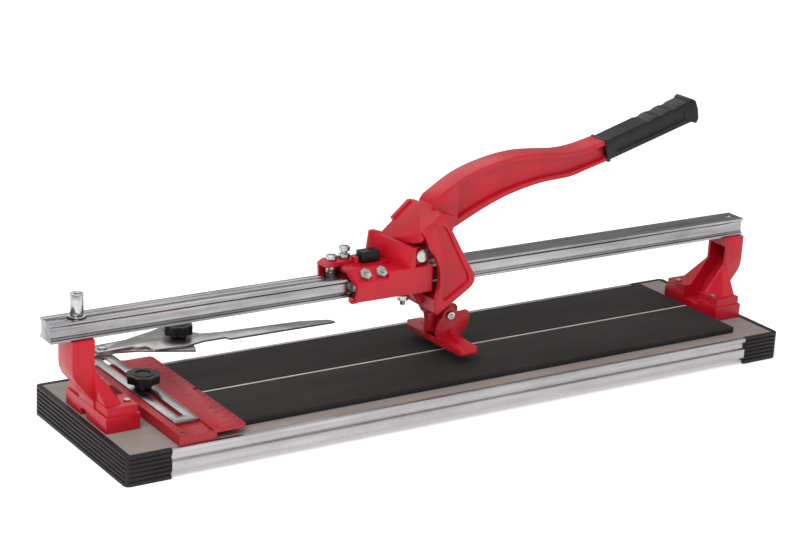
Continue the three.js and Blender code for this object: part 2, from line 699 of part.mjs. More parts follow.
function angleBlade() {
  const [px, py] = BLADE_PIVOT;
  const blade = plate(
    [
      [px - 9, py - 9],
      [px + 30, py - 8],
      [px + 34, py - 12],
      [px + 43, py - 13],
      [px + 46, py - 26],
      [px + 80, py - 29],
      [px + 104, py - 23],
      [px + 129, py - 23],
      [px + 132, py - 29],
      [px + 256, py - 30],
      [px + 259, py - 29],
      [px + 255, py - 22],
      [px + 225, py - 13],
      [px + 178, py - 10],
      [px + 132, py - 7],
      [px + 112, py - 3],
      [px + 98, py + 12],
      [px + 84, py + 22],
      [px + 68, py + 25],
      [px + 50, py + 20],
      [px + 32, py + 13],
      [px - 3, py + 11],
      [px - 9, py + 7],
    ],
    BLADE_UNDER,
    BLADE_TOP,
  );
  const hole = post(px, py, RIVET_RADIUS + GAP, BLADE_UNDER - 1, BLADE_TOP + 1);
  const studHole = post(px + ARC_RADIUS, py, KNOB_STUD_RADIUS + GAP, BLADE_UNDER - 1, BLADE_TOP + 1);
  return blade.subtract(hole).subtract(studHole);
}

function rivet() {
  const [px, py] = BLADE_PIVOT;
  const head = post(px, py, RIVET_RADIUS * 2, BLADE_TOP + GAP, BLADE_TOP + GAP + 1.6, 24);
  const shank = post(px, py, RIVET_RADIUS, BAR_UNDER, BLADE_TOP + GAP + 0.5, 20);
  return head.add(shank);
}

function buildFence(group) {
  place(group, "fence", fence(), red);
  place(group, "slotted_bar", slottedBar(), steel);
  const [px, py] = BLADE_PIVOT;
  place(group, "quadrant_plate", quadrantPlate(), steel);
  place(group, "angle_blade", angleBlade(), steel);
  place(group, "pivot_rivet", rivet(), steel);
  const barKnob = lobedKnob(
    KNOB_RADIUS,
    KNOB_LOBES,
    BAR_TOP + GAP,
    KNOB_HUB_HEIGHT,
    KNOB_HUB_RADIUS,
    KNOB_HEAD_HEIGHT,
    FENCE_UNDER + 3,
  );
  place(group, "bar_knob", barKnob.translate([BAR_X, KNOB_Y, 0]), blackPlastic);
  const smallKnob = lobedKnob(
    SMALL_KNOB_RADIUS,
    KNOB_LOBES,
    BLADE_TOP + GAP,
    SMALL_KNOB_HUB_HEIGHT,
    KNOB_HUB_RADIUS,
    SMALL_KNOB_HEAD_HEIGHT,
    QUADRANT_UNDER + 0.4,
  );
  place(group, "blade_knob", smallKnob.translate([px + ARC_RADIUS, py, 0]), blackPlastic);
}

// ---- carriage ------------------------------------------------------------------------------------------
const DECK_UNDER = RAIL_TOP + CARRIAGE_ROOF_GAP;
const DECK_TOP = DECK_UNDER + CARRIAGE_DECK;
const LIP_TOP = RAIL_UNDER - LIP_GAP;
const ROLLER_Y = RAIL_WAIST / 2 + ROLLER_PLAY + ROLLER_RADIUS;
const HOUSING_INNER = ROLLER_Y + ROLLER_RADIUS + ROLLER_PLAY;
const ROLLER_UNDER = RAIL_MIDDLE - ROLLER_HEIGHT / 2;

// The inner boundary of a housing wall and its lip, from the lip's tip up to the wall's top.
function innerWall(top) {
  const inner = -HOUSING_INNER;
  return [
    [-CARRIAGE_HALF_WIDTH, LIP_OUTER],
    [-LIP_REACH, LIP_INNER],
    [-LIP_REACH, LIP_TOP],
    [inner, LIP_TOP],
    [inner, top],
  ];
}

// The plain section at the right, and all along the rear: wall, flat top and lip.
function plainSection() {
  return [
    ...innerWall(DECK_UNDER - 3),
    [-HOUSING_INNER + 3, DECK_UNDER],
    [0.5, DECK_UNDER],
    [0.5, DECK_TOP],
    [-CARRIAGE_HALF_WIDTH, DECK_TOP],
  ];
}

// The chamfered section at the left front, where the adjusters stand.
function chamferSection() {
  const rise = HIGH_DECK - CHAMFER_FOOT;
  const shift = HOUSING_WALL / Math.SQRT2;
  const innerStart = CHAMFER_FOOT - shift + (CARRIAGE_HALF_WIDTH - HOUSING_INNER - shift);
  return [
    ...innerWall(innerStart),
    [-CARRIAGE_HALF_WIDTH + rise + shift, HIGH_DECK - HOUSING_WALL],
    [0.5, HIGH_DECK - HOUSING_WALL],
    [0.5, HIGH_DECK],
    [-CARRIAGE_HALF_WIDTH + rise, HIGH_DECK],
    [-CARRIAGE_HALF_WIDTH, CHAMFER_FOOT],
  ];
}

// The slanting plate across the carriage that the lever's crown comes down behind.
function crossPlate() {
  const half = CARRIAGE_HALF_WIDTH;
  const low = DECK_TOP - 1;
  const plan = plate(
    [
      [CROSS_FRONT_X - CROSS_THICKNESS, -half],
      [CROSS_FRONT_X, -half],
      [CROSS_REAR_X, half],
      [CROSS_REAR_X - CROSS_THICKNESS, half],
    ],
    low,
    CROSS_REAR_TOP + 1,
  );
  const side = beam(
    [
      [-half - 1, low],
      [half + 1, low],
      [half + 1, CROSS_REAR_TOP],
      [half - 8, CROSS_REAR_TOP],
      [half - 11, CROSS_REAR_TOP - 2.4],
      [-half - 1, CROSS_FRONT_TOP],
    ],
    CROSS_REAR_X - 20,
    CROSS_FRONT_X + 20,
  );
  return plan.intersect(side);
}

// The arm that reaches left behind the rail and carries the rear rollers.
function rearArm() {
  const half = CARRIAGE_HALF_WIDTH;
  const [a0, a1] = ARM_X;
  const plateUnder = ARM_TOP - HOUSING_WALL - 1;
  const top = slab(
    [
      [a0, plateUnder],
      [a1, plateUnder],
      [a1, ARM_TOP],
      [a0 + 6, ARM_TOP],
      [a0, ARM_TOP - 3.5],
    ],
    ARM_FRONT_Y,
    half,
  );
  const wall = slab(
    [
      [a0, ARM_TOP - 4.5],
      [a0 + 1.5, RAIL_MIDDLE],
      [a0 + 6, RAIL_UNDER + 4],
      [CARRIAGE_X[0] + 1, RAIL_UNDER + 4],
      [CARRIAGE_X[0] + 1, ARM_TOP - 1],
    ],
    HOUSING_INNER + GAP,
    half,
  );
  const step = box(a1 - 5, a1 - 0.5, ARM_FRONT_Y - 5, ARM_FRONT_Y + 2, HIGH_DECK - 1, ARM_TOP + 4);
  return union(top, wall, step);
}

function pivotLug() {
  const [px, pz] = PIVOT;
  const right = CARRIAGE_X[1] - 2;
  const shape = [
    [-43, DECK_TOP - 1],
    [right, DECK_TOP - 1],
    [right, pz + 3],
    [px + 5, pz + 8.5],
    [px - 5, pz + 8.5],
    [-43, pz + 4],
  ];
  return slab(shape, -HUB_HALF_WIDTH - GAP - LUG_THICKNESS, -HUB_HALF_WIDTH - GAP);
}

function carriageBody() {
  const [x0, x1] = CARRIAGE_X;
  const half = CARRIAGE_HALF_WIDTH;
  const rise = HIGH_DECK - CHAMFER_FOOT;
  const front = beam(chamferSection(), x0, STEP_X).add(beam(plainSection(), STEP_X - 0.5, x1));
  const beak = beam(chamferSection(), x0 - BEAK, x0 + 1).intersect(
    plate(
      [
        [x0, -half - 0.01],
        [x0 + 1, -half - 0.01],
        [x0 + 1, 0.5],
        [x0 - BEAK, 0.5],
        [x0 - BEAK, -half + rise],
      ],
      CHAMFER_FOOT - 3,
      HIGH_DECK + 1,
    ),
  );
  const nose = box(x0 - BEAK - 1, x0 + 1, -half, -HOUSING_INNER + 1, LIP_OUTER - 0.6, LIP_TOP);
  const rear = mirrorY(beam(plainSection(), x0, x1));
  const highDeck = box(x0, STEP_X + 12, -1, half, DECK_TOP - 0.5, HIGH_DECK);
  const rearWall = slab(
    [
      [x0, DECK_TOP - 1],
      [x1, DECK_TOP - 1],
      [x1, DECK_TOP + 1],
      [-53, DECK_TOP + 5],
      [CROSS_REAR_X + 1, CROSS_REAR_TOP],
      [CROSS_REAR_X - CROSS_THICKNESS - 1, CROSS_REAR_TOP],
      [CROSS_REAR_X - CROSS_THICKNESS - 4, HIGH_DECK + 3],
      [x0, HIGH_DECK],
    ],
    half - HOUSING_WALL,
    half,
  );
  const lug = pivotLug();
  let made = union(front, beak, nose, rear, highDeck, rearArm(), rearWall, lug, mirrorY(lug), crossPlate());
  made = made.subtract(pin(...PIVOT, PIVOT_BOLT_RADIUS + GAP, -half, half));
  const hole = ROLLER_BOLT_RADIUS + GAP;
  for (const x of FRONT_ROLLERS_X) {
    made = made.subtract(post(x, -ROLLER_Y, hole, LIP_INNER - 2, DECK_UNDER - 3, 20));
  }
  REAR_ROLLERS_X.forEach((x, i) => {
    const high = i < 2 ? ARM_TOP + 1 : DECK_UNDER - 3;
    made = made.subtract(post(x, ROLLER_Y, hole, LIP_INNER - 2, high, 20));
  });
  for (const y of [-ROLLER_Y, ROLLER_Y]) {
    made = made.subtract(post(LOW_BOLT_X, y, BOLT_HEAD + 1, LIP_INNER - 4, LIP_UNDER, 24));
  }
  for (const x of ADJUSTERS_X) {
    made = made.subtract(onChamfer(post(0, 0, ADJUSTER_RADIUS + GAP, -12, 3, 20), x));
  }
  const armUnderside = ARM_TOP - HOUSING_WALL - 1;
  const spacer = post(REAR_ROLLERS_X[0], ROLLER_Y, SPACER_RADIUS + GAP, ROLLER_UNDER, armUnderside, 28);
  const rearRoom = box(ARM_X[0] - 1, x0 + 1, 0, HOUSING_INNER, LIP_INNER - 1, DECK_UNDER);
  return made.subtract(rearRoom).subtract(spacer);
}

// Stands a solid drawn round the Z axis on the chamfer at x, square to it.
function onChamfer(made, x) {
  const rise = HIGH_DECK - CHAMFER_FOOT;
  return made.rotate([45, 0, 0]).translate([x, -CARRIAGE_HALF_WIDTH + rise / 2, CHAMFER_FOOT + rise / 2]);
}

// A slotted set screw with its lock nut, standing on the chamfer.
function adjuster(x, proud) {
  const nut = post(0, 0, BOLT_HEAD, GAP, GAP + BOLT_HEAD_HEIGHT, 6);
  const screw = post(0, 0, ADJUSTER_RADIUS, -HOUSING_WALL - 1, BOLT_HEAD_HEIGHT + proud, 24);
  const slot = box(-ADJUSTER_RADIUS - 1, ADJUSTER_RADIUS + 1, -0.6, 0.6, BOLT_HEAD_HEIGHT + proud - 1.2, 20);
  return onChamfer(nut.add(screw).subtract(slot), x);
}

function roller(x, y) {
  const made = post(x, y, ROLLER_RADIUS, ROLLER_UNDER, ROLLER_UNDER + ROLLER_HEIGHT, 32);
  const bore = post(x, y, ROLLER_BOLT_RADIUS + GAP, ROLLER_UNDER - 1, ROLLER_UNDER + ROLLER_HEIGHT + 1, 24);
  return made.subtract(bore);
}

// A hexagon-headed bolt hanging from a seat down through a roller. A raised head stands on its lock nut.
function rollerBolt(x, y, seat, raised, spaced) {
  const nut = post(x, y, BOLT_HEAD, seat + GAP, seat + GAP + BOLT_HEAD_HEIGHT, 6);
  const head = post(x, y, BOLT_HEAD - 0.4, seat + raised, seat + raised + BOLT_HEAD_HEIGHT, 6);
  const shank = post(x, y, ROLLER_BOLT_RADIUS, ROLLER_UNDER - 1.5, seat + raised + 1, 20);
  const bolt = raised > BOLT_HEAD_HEIGHT ? union(nut, head, shank) : nut.add(shank);
  if (!spaced) return bolt;
  return bolt.add(post(x, y, SPACER_RADIUS, RAIL_TOP + GAP, seat - HOUSING_WALL - 1 - GAP, 28));
}

// A pin pressed into the lip that carries a front roller.
function rollerPin(x, y) {
  return post(x, y, ROLLER_BOLT_RADIUS, LIP_TOP - 3, ROLLER_UNDER + ROLLER_HEIGHT + 1.5, 20);
}

// A bolt pushed up from below, with its nut under the lip.
function lowRollerBolt(x, y) {
  const nutTop = LIP_UNDER - GAP;
  const nut = post(x, y, BOLT_HEAD, nutTop - 6, nutTop, 6);
  const tail = post(x, y, ROLLER_BOLT_RADIUS + 0.6, nutTop - 11, nutTop - 5, 20);
  return union(nut, tail, post(x, y, ROLLER_BOLT_RADIUS, nutTop - 1, ROLLER_UNDER + ROLLER_HEIGHT + 1.5, 20));
}

function buildCarriage(group) {
  place(group, "carriage_body", carriageBody(), red);
  FRONT_ROLLERS_X.forEach((x, i) => {
    place(group, `front_roller_${i + 1}`, roller(x, -ROLLER_Y), steel);
    const bolt = x === LOW_BOLT_X ? lowRollerBolt(x, -ROLLER_Y) : rollerPin(x, -ROLLER_Y);
    place(group, `front_roller_bolt_${i + 1}`, bolt, steel);
  });
  REAR_ROLLERS_X.forEach((x, i) => {
    place(group, `rear_roller_${i + 1}`, roller(x, ROLLER_Y), steel);
    const high = i === 1 ? BOLT_HEAD_HEIGHT + 3.4 : 0;
    const bolt = x === LOW_BOLT_X ? lowRollerBolt(x, ROLLER_Y) : rollerBolt(x, ROLLER_Y, ARM_TOP, high, i === 0);
    place(group, `rear_roller_bolt_${i + 1}`, bolt, steel);
  });
  ADJUSTERS_X.forEach((x, i) => {
    place(group, `adjuster_${i + 1}`, adjuster(x, 1.5 + 1.5 * i), steel);
  });
  const [bx, by, bz] = BUMPER;
  const under = HIGH_DECK + GAP;
  const bumper = box(BUMPER_X, BUMPER_X + bx, BUMPER_Y, BUMPER_Y + by, under, under + bz);
  const dent = box(BUMPER_X + 12, BUMPER_X + 19, BUMPER_Y + 4, BUMPER_Y + 8, under + bz - 1.5, under + bz + 1);
  place(group, "bumper_block", bumper.subtract(dent), blackPlastic);
}

// ---- lever ---------------------------------------------------------------------------------------------
const YOKE_INNER = YOKE_OUTER - YOKE_PLATE;

// Points on a smooth curve through a few given ones.
function smooth(points, steps) {
  const curve = new THREE.SplineCurve(points.map(([x, z]) => new THREE.Vector2(x, z)));
  return curve.getPoints(steps).map((p) => [p.x, p.y]);
}

function yokeOutline() {
  const hollowEdge = smooth(
    [
      [-36, 179.6],
      [-26, 163.5],
      [-14, 142],
      [-11.6, 121],
      [-15.5, 97],
    ],
    16,
  );
  return [
    ...hollowEdge,
    [-14.6, 90],
    [-12.5, 88.8],
    [22.5, 110.6],
    [28, 114.5],
    [31.2, 119],
    [31.8, 123.5],
    [30, 129],
    [19, 146],
    [0, 178],
    [-9, 194.5],
    [-12, 196.8],
    [-16.5, 196.5],
  ];
}

function yokeRecess() {
  const hollowEdge = smooth(
    [
      [-18.5, 180.5],
      [-12.5, 163],
      [-7.2, 142],
      [-5.6, 121],
      [-7.2, 106],
    ],
    14,
  );
  return [
    ...hollowEdge,
    [-6, 103],
    [-2.4, 103],
    [18.5, 115.6],
    [23.6, 119.4],
    [24.8, 123.4],
    [23, 128.4],
    [-7, 181.4],
    [-12, 185],
  ];
}

function armTop() {
  const curve = smooth(
    [
      [-10.5, 207],
      [24, 227],
      [62, 238.2],
      [95, 242.4],
      [124, 241.6],
      [152, 239.4],
      [176, 241.2],
      [206, 247.4],
    ],
    30,
  );
  return [[-14, 184], [-14, 201.5], ...curve];
}

function armUnder() {
  return smooth(
    [
      [-4, 170],
      [12, 173],
      [51, 190.6],
      [84, 202.2],
      [123, 210],
      [160, 212.4],
      [182, 217.6],
      [208.5, 224.2],
    ],
    28,
  );
}

// The hollow between the arm's flanges.
function armPocket() {
  const roof = smooth(
    [
      [216, 249.6],
      [206, 247.4],
      [176, 241.2],
      [152, 239.4],
      [124, 241.6],
      [95, 242.4],
      [62, 238.2],
      [24, 227],
      [19, 224.6],
    ],
    26,
  );
  const floor = smooth(
    [
      [19, 183],
      [47, 195.4],
      [84, 207.4],
      [124, 214.6],
      [160, 217],
      [199, 225.4],
      [216, 230],
    ],
    26,
  );
  return [...floor, ...roof.map(([x, z]) => [x, z - FLANGE])];
}

function bothSides(made) {
  return made.add(mirrorY(made));
}

function leverArm() {
  const shape = [...armTop(), ...armUnder().reverse()].reverse();
  const pocket = slab(armPocket(), -ARM_HALF_WIDTH - 1, -ARM_HALF_WIDTH + ARM_POCKET);
  const mouthCut = alongGrip(box(-GAP, GRIP_LENGTH, -YOKE_OUTER, YOKE_OUTER, -GRIP_END, GRIP_END));
  const arm = slab(shape, -ARM_HALF_WIDTH, ARM_HALF_WIDTH).subtract(pocket).subtract(mirrorY(pocket));
  return arm.subtract(mouthCut).add(tang());
}

// The inclined plate that joins the two yoke plates to the arm. It ends close behind the cross plate.
function crown() {
  const plane = slab(
    [
      [-55, 161.9],
      [-52.5, 158.6],
      [-6, 186],
      [2, 172],
      [8, 190],
      [-12, 197.6],
    ],
    -YOKE_INNER - 1,
    YOKE_INNER + 1,
  );
  const half = CARRIAGE_HALF_WIDTH;
  const slant = (CROSS_REAR_X - CROSS_FRONT_X) / (2 * half);
  const margin = YOKE_OUTER - half;
  const beyond = plate(
    [
      [-200, -half - margin],
      [CROSS_FRONT_X + CROWN_CLEARANCE - slant * margin, -half - margin],
      [CROSS_REAR_X + CROWN_CLEARANCE + slant * margin, half + margin],
      [-200, half + margin],
    ],
    PIVOT[1],
    PIVOT[1] + 60,
  );
  return plane.subtract(beyond);
}

function yokePlates() {
  const recess = slab(yokeRecess(), -YOKE_OUTER - 1, -YOKE_OUTER + YOKE_RECESS);
  return bothSides(slab(yokeOutline(), -YOKE_OUTER, -YOKE_INNER).subtract(recess));
}

// The hub on the pivot bolt and the neck that joins it to the arm.
function leverHub() {
  const [px, pz] = PIVOT;
  const hub = pin(px, pz, HUB_RADIUS, -HUB_HALF_WIDTH, HUB_HALF_WIDTH, 32);
  const neck = slab(
    [
      [px - 6, pz + 5],
      [px + 7.6, pz - 3],
      [px + 12, pz + 6],
      [2, 176],
      [-12, 190],
      [px - 8, pz + 14],
    ],
    -HUB_HALF_WIDTH,
    HUB_HALF_WIDTH,
  );
  return hub.add(neck);
}

// The wall across the foot of the yoke, and the web below it that carries the wheel and the breaking foot.
function leverFoot() {
  const bridge = slab(
    [
      [-14, 89.6],
      [-12, 89],
      [20, 109.2],
      [12, 110],
      [-6, 104],
      [-14.6, 104],
    ],
    -YOKE_INNER - 1,
    YOKE_INNER + 1,
  );
  const web = slab(
    [
      [-25, 107],
      [-22, 100],
      [-16, 93],
      [-10, 86],
      [-6, 79],
      [-4.8, 73],
      [-4.8, 61],
      [0, 59.8],
      [8.6, 59.2],
      [9, 51],
      [10.5, 48.6],
      [15.5, 48.6],
      [17, 51],
      [17.5, 60],
      [20, 68],
      [25, 76],
      [24, 86],
      [16, 104],
      [10, 109],
    ],
    -WEB_HALF_WIDTH,
    WEB_HALF_WIDTH,
  );
  const shoulder = beam(
    [
      [-YOKE_INNER, 97],
      [YOKE_INNER, 97],
      [WEB_HALF_WIDTH, 82],
      [-WEB_HALF_WIDTH, 82],
    ],
    -9,
    4,
  );
  const boss = pin(...FOOT_PIVOT, FOOT_TOP_RADIUS - 1, -FOOT_CHEEK_INNER + GAP, FOOT_CHEEK_INNER - GAP, 28);
  return union(bridge, web, shoulder, boss);
}

function leverBody() {
  const side = WEB_HALF_WIDTH + 1;
  const wheelRoom = pin(...WHEEL_CENTRE, WHEEL_RADIUS + 1, -WHEEL_WIDTH / 2 - 0.4, WHEEL_WIDTH / 2 + 0.4);
  const axleHole = pin(...WHEEL_CENTRE, WHEEL_AXLE_RADIUS + GAP, -side, side, 20);
  const footHole = pin(...FOOT_PIVOT, FOOT_PIN_RADIUS + GAP, -FOOT_CHEEK_INNER, FOOT_CHEEK_INNER);
  const pivotHole = pin(...PIVOT, PIVOT_BOLT_RADIUS + GAP, -HUB_HALF_WIDTH - 1, HUB_HALF_WIDTH + 1);
  const made = union(leverArm(), crown(), leverHub(), yokePlates(), leverFoot());
  return made.subtract(wheelRoom).subtract(axleHole).subtract(footHole).subtract(pivotHole);
}

// Turns a solid drawn along +X from the origin to lie along the grip's axis.
function alongGrip(made) {
  const degrees = THREE.MathUtils.radToDeg(GRIP_ANGLE);
  return made.rotate([0, -degrees, 0]).translate([GRIP_START[0], 0, GRIP_START[1]]);
}

function tang() {
  const [length, width, height] = TANG;
  return alongGrip(box(-8, length, -width / 2, width / 2, -height / 2, height / 2));
}

// The rubber grip: a tapering sleeve with a collar, an end flange, a long panel and three finger hollows.
function grip() {
  const mouth = GRIP_MOUTH / 2;
  const end = GRIP_END / 2;
  const flange = GRIP_LENGTH - 8;
  const half = GRIP_HALF_WIDTH;
  const sleeve = slab(
    [
      [0, -mouth],
      [3, -mouth],
      [4, -mouth + 1.4],
      [flange, -end + 3],
      [flange + 3, -end + 0.4],
      [flange + 6, -end],
      [GRIP_LENGTH + 1, -end + 4],
      [GRIP_LENGTH + 2, 0],
      [GRIP_LENGTH + 0.4, end - 4],
      [flange + 4, end],
      [flange + 1, end - 0.2],
      [flange - 2, end - 2],
      [4, mouth - 1.4],
      [3, mouth],
      [0, mouth],
    ],
    -half,
    half,
  );
  const [length, width, height] = TANG;
  const bore = box(-1, length + 1, -width / 2 - GAP, width / 2 + GAP, -height / 2 - GAP, height / 2 + GAP);
  let made = sleeve.subtract(bore);
  const narrow = half - GRIP_WAIST;
  for (const side of [-1, 1]) {
    const flank = plate(
      [
        [4, side * narrow],
        [flange - 3, side * narrow],
        [flange + 2, side * (half + 1)],
        [3, side * (half + 1)],
      ],
      -end - 1,
      end + 1,
    );
    const panelDepth = side * (narrow - 0.9);
    const panel = box(
      14,
      flange - 8,
      Math.min(panelDepth, side * half),
      Math.max(panelDepth, side * half),
      -6.2,
      4.4,
    );
    made = made.subtract(flank).subtract(panel);
  }
  const rise = (end - mouth - 0.6) / flange;
  for (const u of FINGERS) {
    const hollow = new THREE.CylinderGeometry(FINGER_RADIUS, FINGER_RADIUS, 2 * half + 2, 40);
    hollow.translate(u, 0, mouth + rise * u + FINGER_RADIUS - FINGER_DEPTH);
    made = made.subtract(solid(hollow));
  }
  return alongGrip(made);
}

// The hinged breaking foot: two cheeks on the pin over a long cross bar with a rib on each wing.
function breakingFoot() {
  const [x0, x1] = FOOT_BAR_X;
  const [z0, z1] = FOOT_BAR_Z;
  const [px, pz] = FOOT_PIVOT;
  const crownArc = [];
  for (let i = 0; i <= 8; i++) {
    const angle = ((20 + i * 20) * Math.PI) / 180;
    crownArc.push([px + FOOT_TOP_RADIUS * Math.cos(angle), pz + FOOT_TOP_RADIUS * Math.sin(angle)]);
  }
  const cheekShape = [
    [x0, z0 + 2],
    [x1, z0 + 2],
    [x1 + 6, z1 + 2],
    [px + 22, pz - 17],
    [px + 25, pz - 8],
    [px + 25, pz - 1],
    [px + 22.6, pz + 2.4],
    [px + 13.5, pz + 1.6],
    ...crownArc,
    [px - 12.5, pz - 4],
    [px - 15, pz - 12],
    [x0 - 1, z1 + 3],
  ];
  const inner = FOOT_CHEEK_INNER;
  const outer = inner + FOOT_CHEEK;
  const cheeks = bothSides(slab(cheekShape, -outer, -inner));
  const profile = beam(
    [
      [-FOOT_HALF_SPAN, z0 + 1],
      [-FOOT_HALF_SPAN + 2, z0],
      [FOOT_HALF_SPAN - 2, z0],
      [FOOT_HALF_SPAN, z0 + 1],
      [FOOT_HALF_SPAN, z0 + FOOT_TIP],
      [outer, z1 + 1],
      [-outer, z1 + 1],
      [-FOOT_HALF_SPAN, z0 + FOOT_TIP],
    ],
    x0 - 1,
    x1 + 1,
  );
  const tip = FOOT_HALF_SPAN;
  const plan = plate(
    [
      [x0, -outer],
      [x0 + 2.6, -tip + 3],
      [x0 + 5, -tip],
      [x1 - 3, -tip],
      [x1 + 0.6, -tip + 3],
      [x1, -outer],
      [x1, outer],
      [x1 + 0.6, tip - 3],
      [x1 - 3, tip],
      [x0 + 5, tip],
      [x0 + 2.6, tip - 3],
      [x0, outer],
    ],
    z0 - 1,
    z1 + 3,
  );
  const rib = beam(
    [
      [-tip + 9, z0 + 5],
      [tip - 9, z0 + 5],
      [outer - 1, pz - 14],
      [-outer + 1, pz - 14],
    ],
    x1 - 13,
    x1 - 8.5,
  );
  const middle = box(x0 - 1, x1 + 30, -inner, inner, z1 - 1, pz + 30);
  const wheelRoom = box(x0 + FOOT_WALL, x1 - 4.5, -inner, inner, z0 - 1, z1 + 6);
  const hole = pin(px, pz, FOOT_PIN_RADIUS + GAP, -outer - 1, outer + 1);
  return union(cheeks, profile.intersect(plan), rib).subtract(middle).subtract(wheelRoom).subtract(hole);
}

function headedPin(x, z, radius, headRadius, headThickness, y0, y1) {
  const head = pin(x, z, headRadius, y0 - headThickness, y0, 32);
  const socket = pin(x, z, headRadius * 0.5, y0 - headThickness - 1, y0 - headThickness * 0.45, 6);
  return head.subtract(socket).add(pin(x, z, radius, y0 - 0.2, y1, 28));
}

function buildLever(group) {
  place(group, "lever_body", leverBody(), red);
  place(group, "grip", grip(), rubber);
  const [px, pz] = PIVOT;
  const lugOuter = HUB_HALF_WIDTH + GAP + LUG_THICKNESS;
  const head = pin(px, pz, PIVOT_HEAD_RADIUS, -lugOuter - GAP - 4, -lugOuter - GAP, 32);
  const shank = pin(px, pz, PIVOT_BOLT_RADIUS, -lugOuter - GAP - 1, lugOuter + 1, 28);
  place(group, "pivot_bolt", head.add(shank), steel);
  const [wx, wz] = WHEEL_CENTRE;
  const wheel = pin(wx, wz, WHEEL_RADIUS, -WHEEL_WIDTH / 2, WHEEL_WIDTH / 2, 40).subtract(
    pin(wx, wz, WHEEL_AXLE_RADIUS + GAP, -WHEEL_WIDTH, WHEEL_WIDTH, 20),
  );
  place(group, "scoring_wheel", wheel, steel);
  const axle = headedPin(wx, wz, WHEEL_AXLE_RADIUS, 3, 1.4, -WEB_HALF_WIDTH - GAP, WEB_HALF_WIDTH + 0.6);
  place(group, "wheel_axle", axle, steel);
  place(group, "breaking_foot", breakingFoot(), red);
  const cheekOuter = FOOT_CHEEK_INNER + FOOT_CHEEK;
  const footPin = headedPin(...FOOT_PIVOT, FOOT_PIN_RADIUS, 4.6, 2.6, -cheekOuter - GAP, cheekOuter + 1);
  place(group, "foot_pin", footPin, steel);
}

// ---- the whole cutter ----------------------------------------------------------------------------------
const group = new THREE.Group();
for (const [name, build] of [
  ["base", buildBase],
  ["rail", buildRail],
  ["fence_set", buildFence],
  ["carriage", buildCarriage],
  ["lever", buildLever],
]) {
  const part = new THREE.Group();
  part.name = name;
  build(part);
  group.add(part);
}

export default group;
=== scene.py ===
"""Manual rail tile cutter, dressed around its fixed frame.

Each sub-assembly is a class that rounds its castings, extrusions and pressings. The fence also gets its
ruler marks and two small dark discs of painted shade where two small holes are, and the carriage gets the
threads that show. Metres, +Z up.
"""

import json
import logging
import math
from collections.abc import Sequence
from dataclasses import dataclass
from enum import Enum

import bmesh
import bpy
from mathutils import Matrix, Vector

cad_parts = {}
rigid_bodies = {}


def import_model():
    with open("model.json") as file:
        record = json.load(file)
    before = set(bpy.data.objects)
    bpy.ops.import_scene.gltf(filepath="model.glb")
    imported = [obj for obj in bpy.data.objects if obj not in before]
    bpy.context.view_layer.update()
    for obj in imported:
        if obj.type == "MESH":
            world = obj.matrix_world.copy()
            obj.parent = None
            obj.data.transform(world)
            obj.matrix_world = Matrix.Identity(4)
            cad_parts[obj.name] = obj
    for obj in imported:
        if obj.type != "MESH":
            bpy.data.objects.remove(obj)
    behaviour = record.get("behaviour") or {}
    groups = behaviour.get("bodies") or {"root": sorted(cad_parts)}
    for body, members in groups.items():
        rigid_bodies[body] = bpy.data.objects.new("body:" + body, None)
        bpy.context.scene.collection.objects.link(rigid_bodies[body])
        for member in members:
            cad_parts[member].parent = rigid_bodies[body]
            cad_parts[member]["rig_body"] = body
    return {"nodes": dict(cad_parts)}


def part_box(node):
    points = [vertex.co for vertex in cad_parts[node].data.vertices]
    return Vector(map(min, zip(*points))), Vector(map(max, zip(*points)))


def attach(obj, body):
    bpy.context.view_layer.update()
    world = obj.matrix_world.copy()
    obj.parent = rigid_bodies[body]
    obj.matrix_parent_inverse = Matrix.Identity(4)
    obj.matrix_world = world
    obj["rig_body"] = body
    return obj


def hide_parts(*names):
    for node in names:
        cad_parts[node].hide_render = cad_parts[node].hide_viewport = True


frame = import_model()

logging.basicConfig(level=logging.INFO, format="%(levelname)s %(message)s")
log = logging.getLogger("tile_cutter")

Socket = bpy.types.NodeSocket
Shape = bmesh.types.BMesh
Piece = bpy.types.Object

MM = 0.001

MERGE_MM = 0.004  # vertices nearer than this are one
FLAT_DEG = 0.8  # faces that meet at less than this are one flat
SHARP_DEG = 28.0  # edges that turn by more than this are rounded
CREASE_DEG = 32.0  # edges that turn by more than this are shaded sharp

THREAD_PITCH_MM = 1.0
THREAD_DEPTH_MM = 0.3
THREAD_PROUD_MM = 0.35  # the crests' height over the plain rod
THREAD_SUNK_MM = 0.4  # the sleeve's reach into the rod
THREAD_STEPS = 28
THREAD_CREASE_DEG = 50.0


# ---- colours and nodes ---------------------------------------------------------------------------------
def linear(hex_colour: str) -> tuple[float, float, float, float]:
    """Turns an sRGB hex colour into linear RGBA.

    Args:
        hex_colour: Six hex digits, such as "C8232F".

    Returns:
        Linear red, green, blue and an alpha of 1.
    """
    channels = [int(hex_colour[i : i + 2], 16) / 255 for i in (0, 2, 4)]
    converted = [c / 12.92 if c <= 0.04045 else ((c + 0.055) / 1.055) ** 2.4 for c in channels]
    return (*converted, 1.0)


def per_mm(size_mm: float) -> float:
    """The texture scale of a pattern, on object coordinates in metres.

    Args:
        size_mm: The length at which the pattern repeats.

    Returns:
        The scale.
    """
    return 1000.0 / size_mm


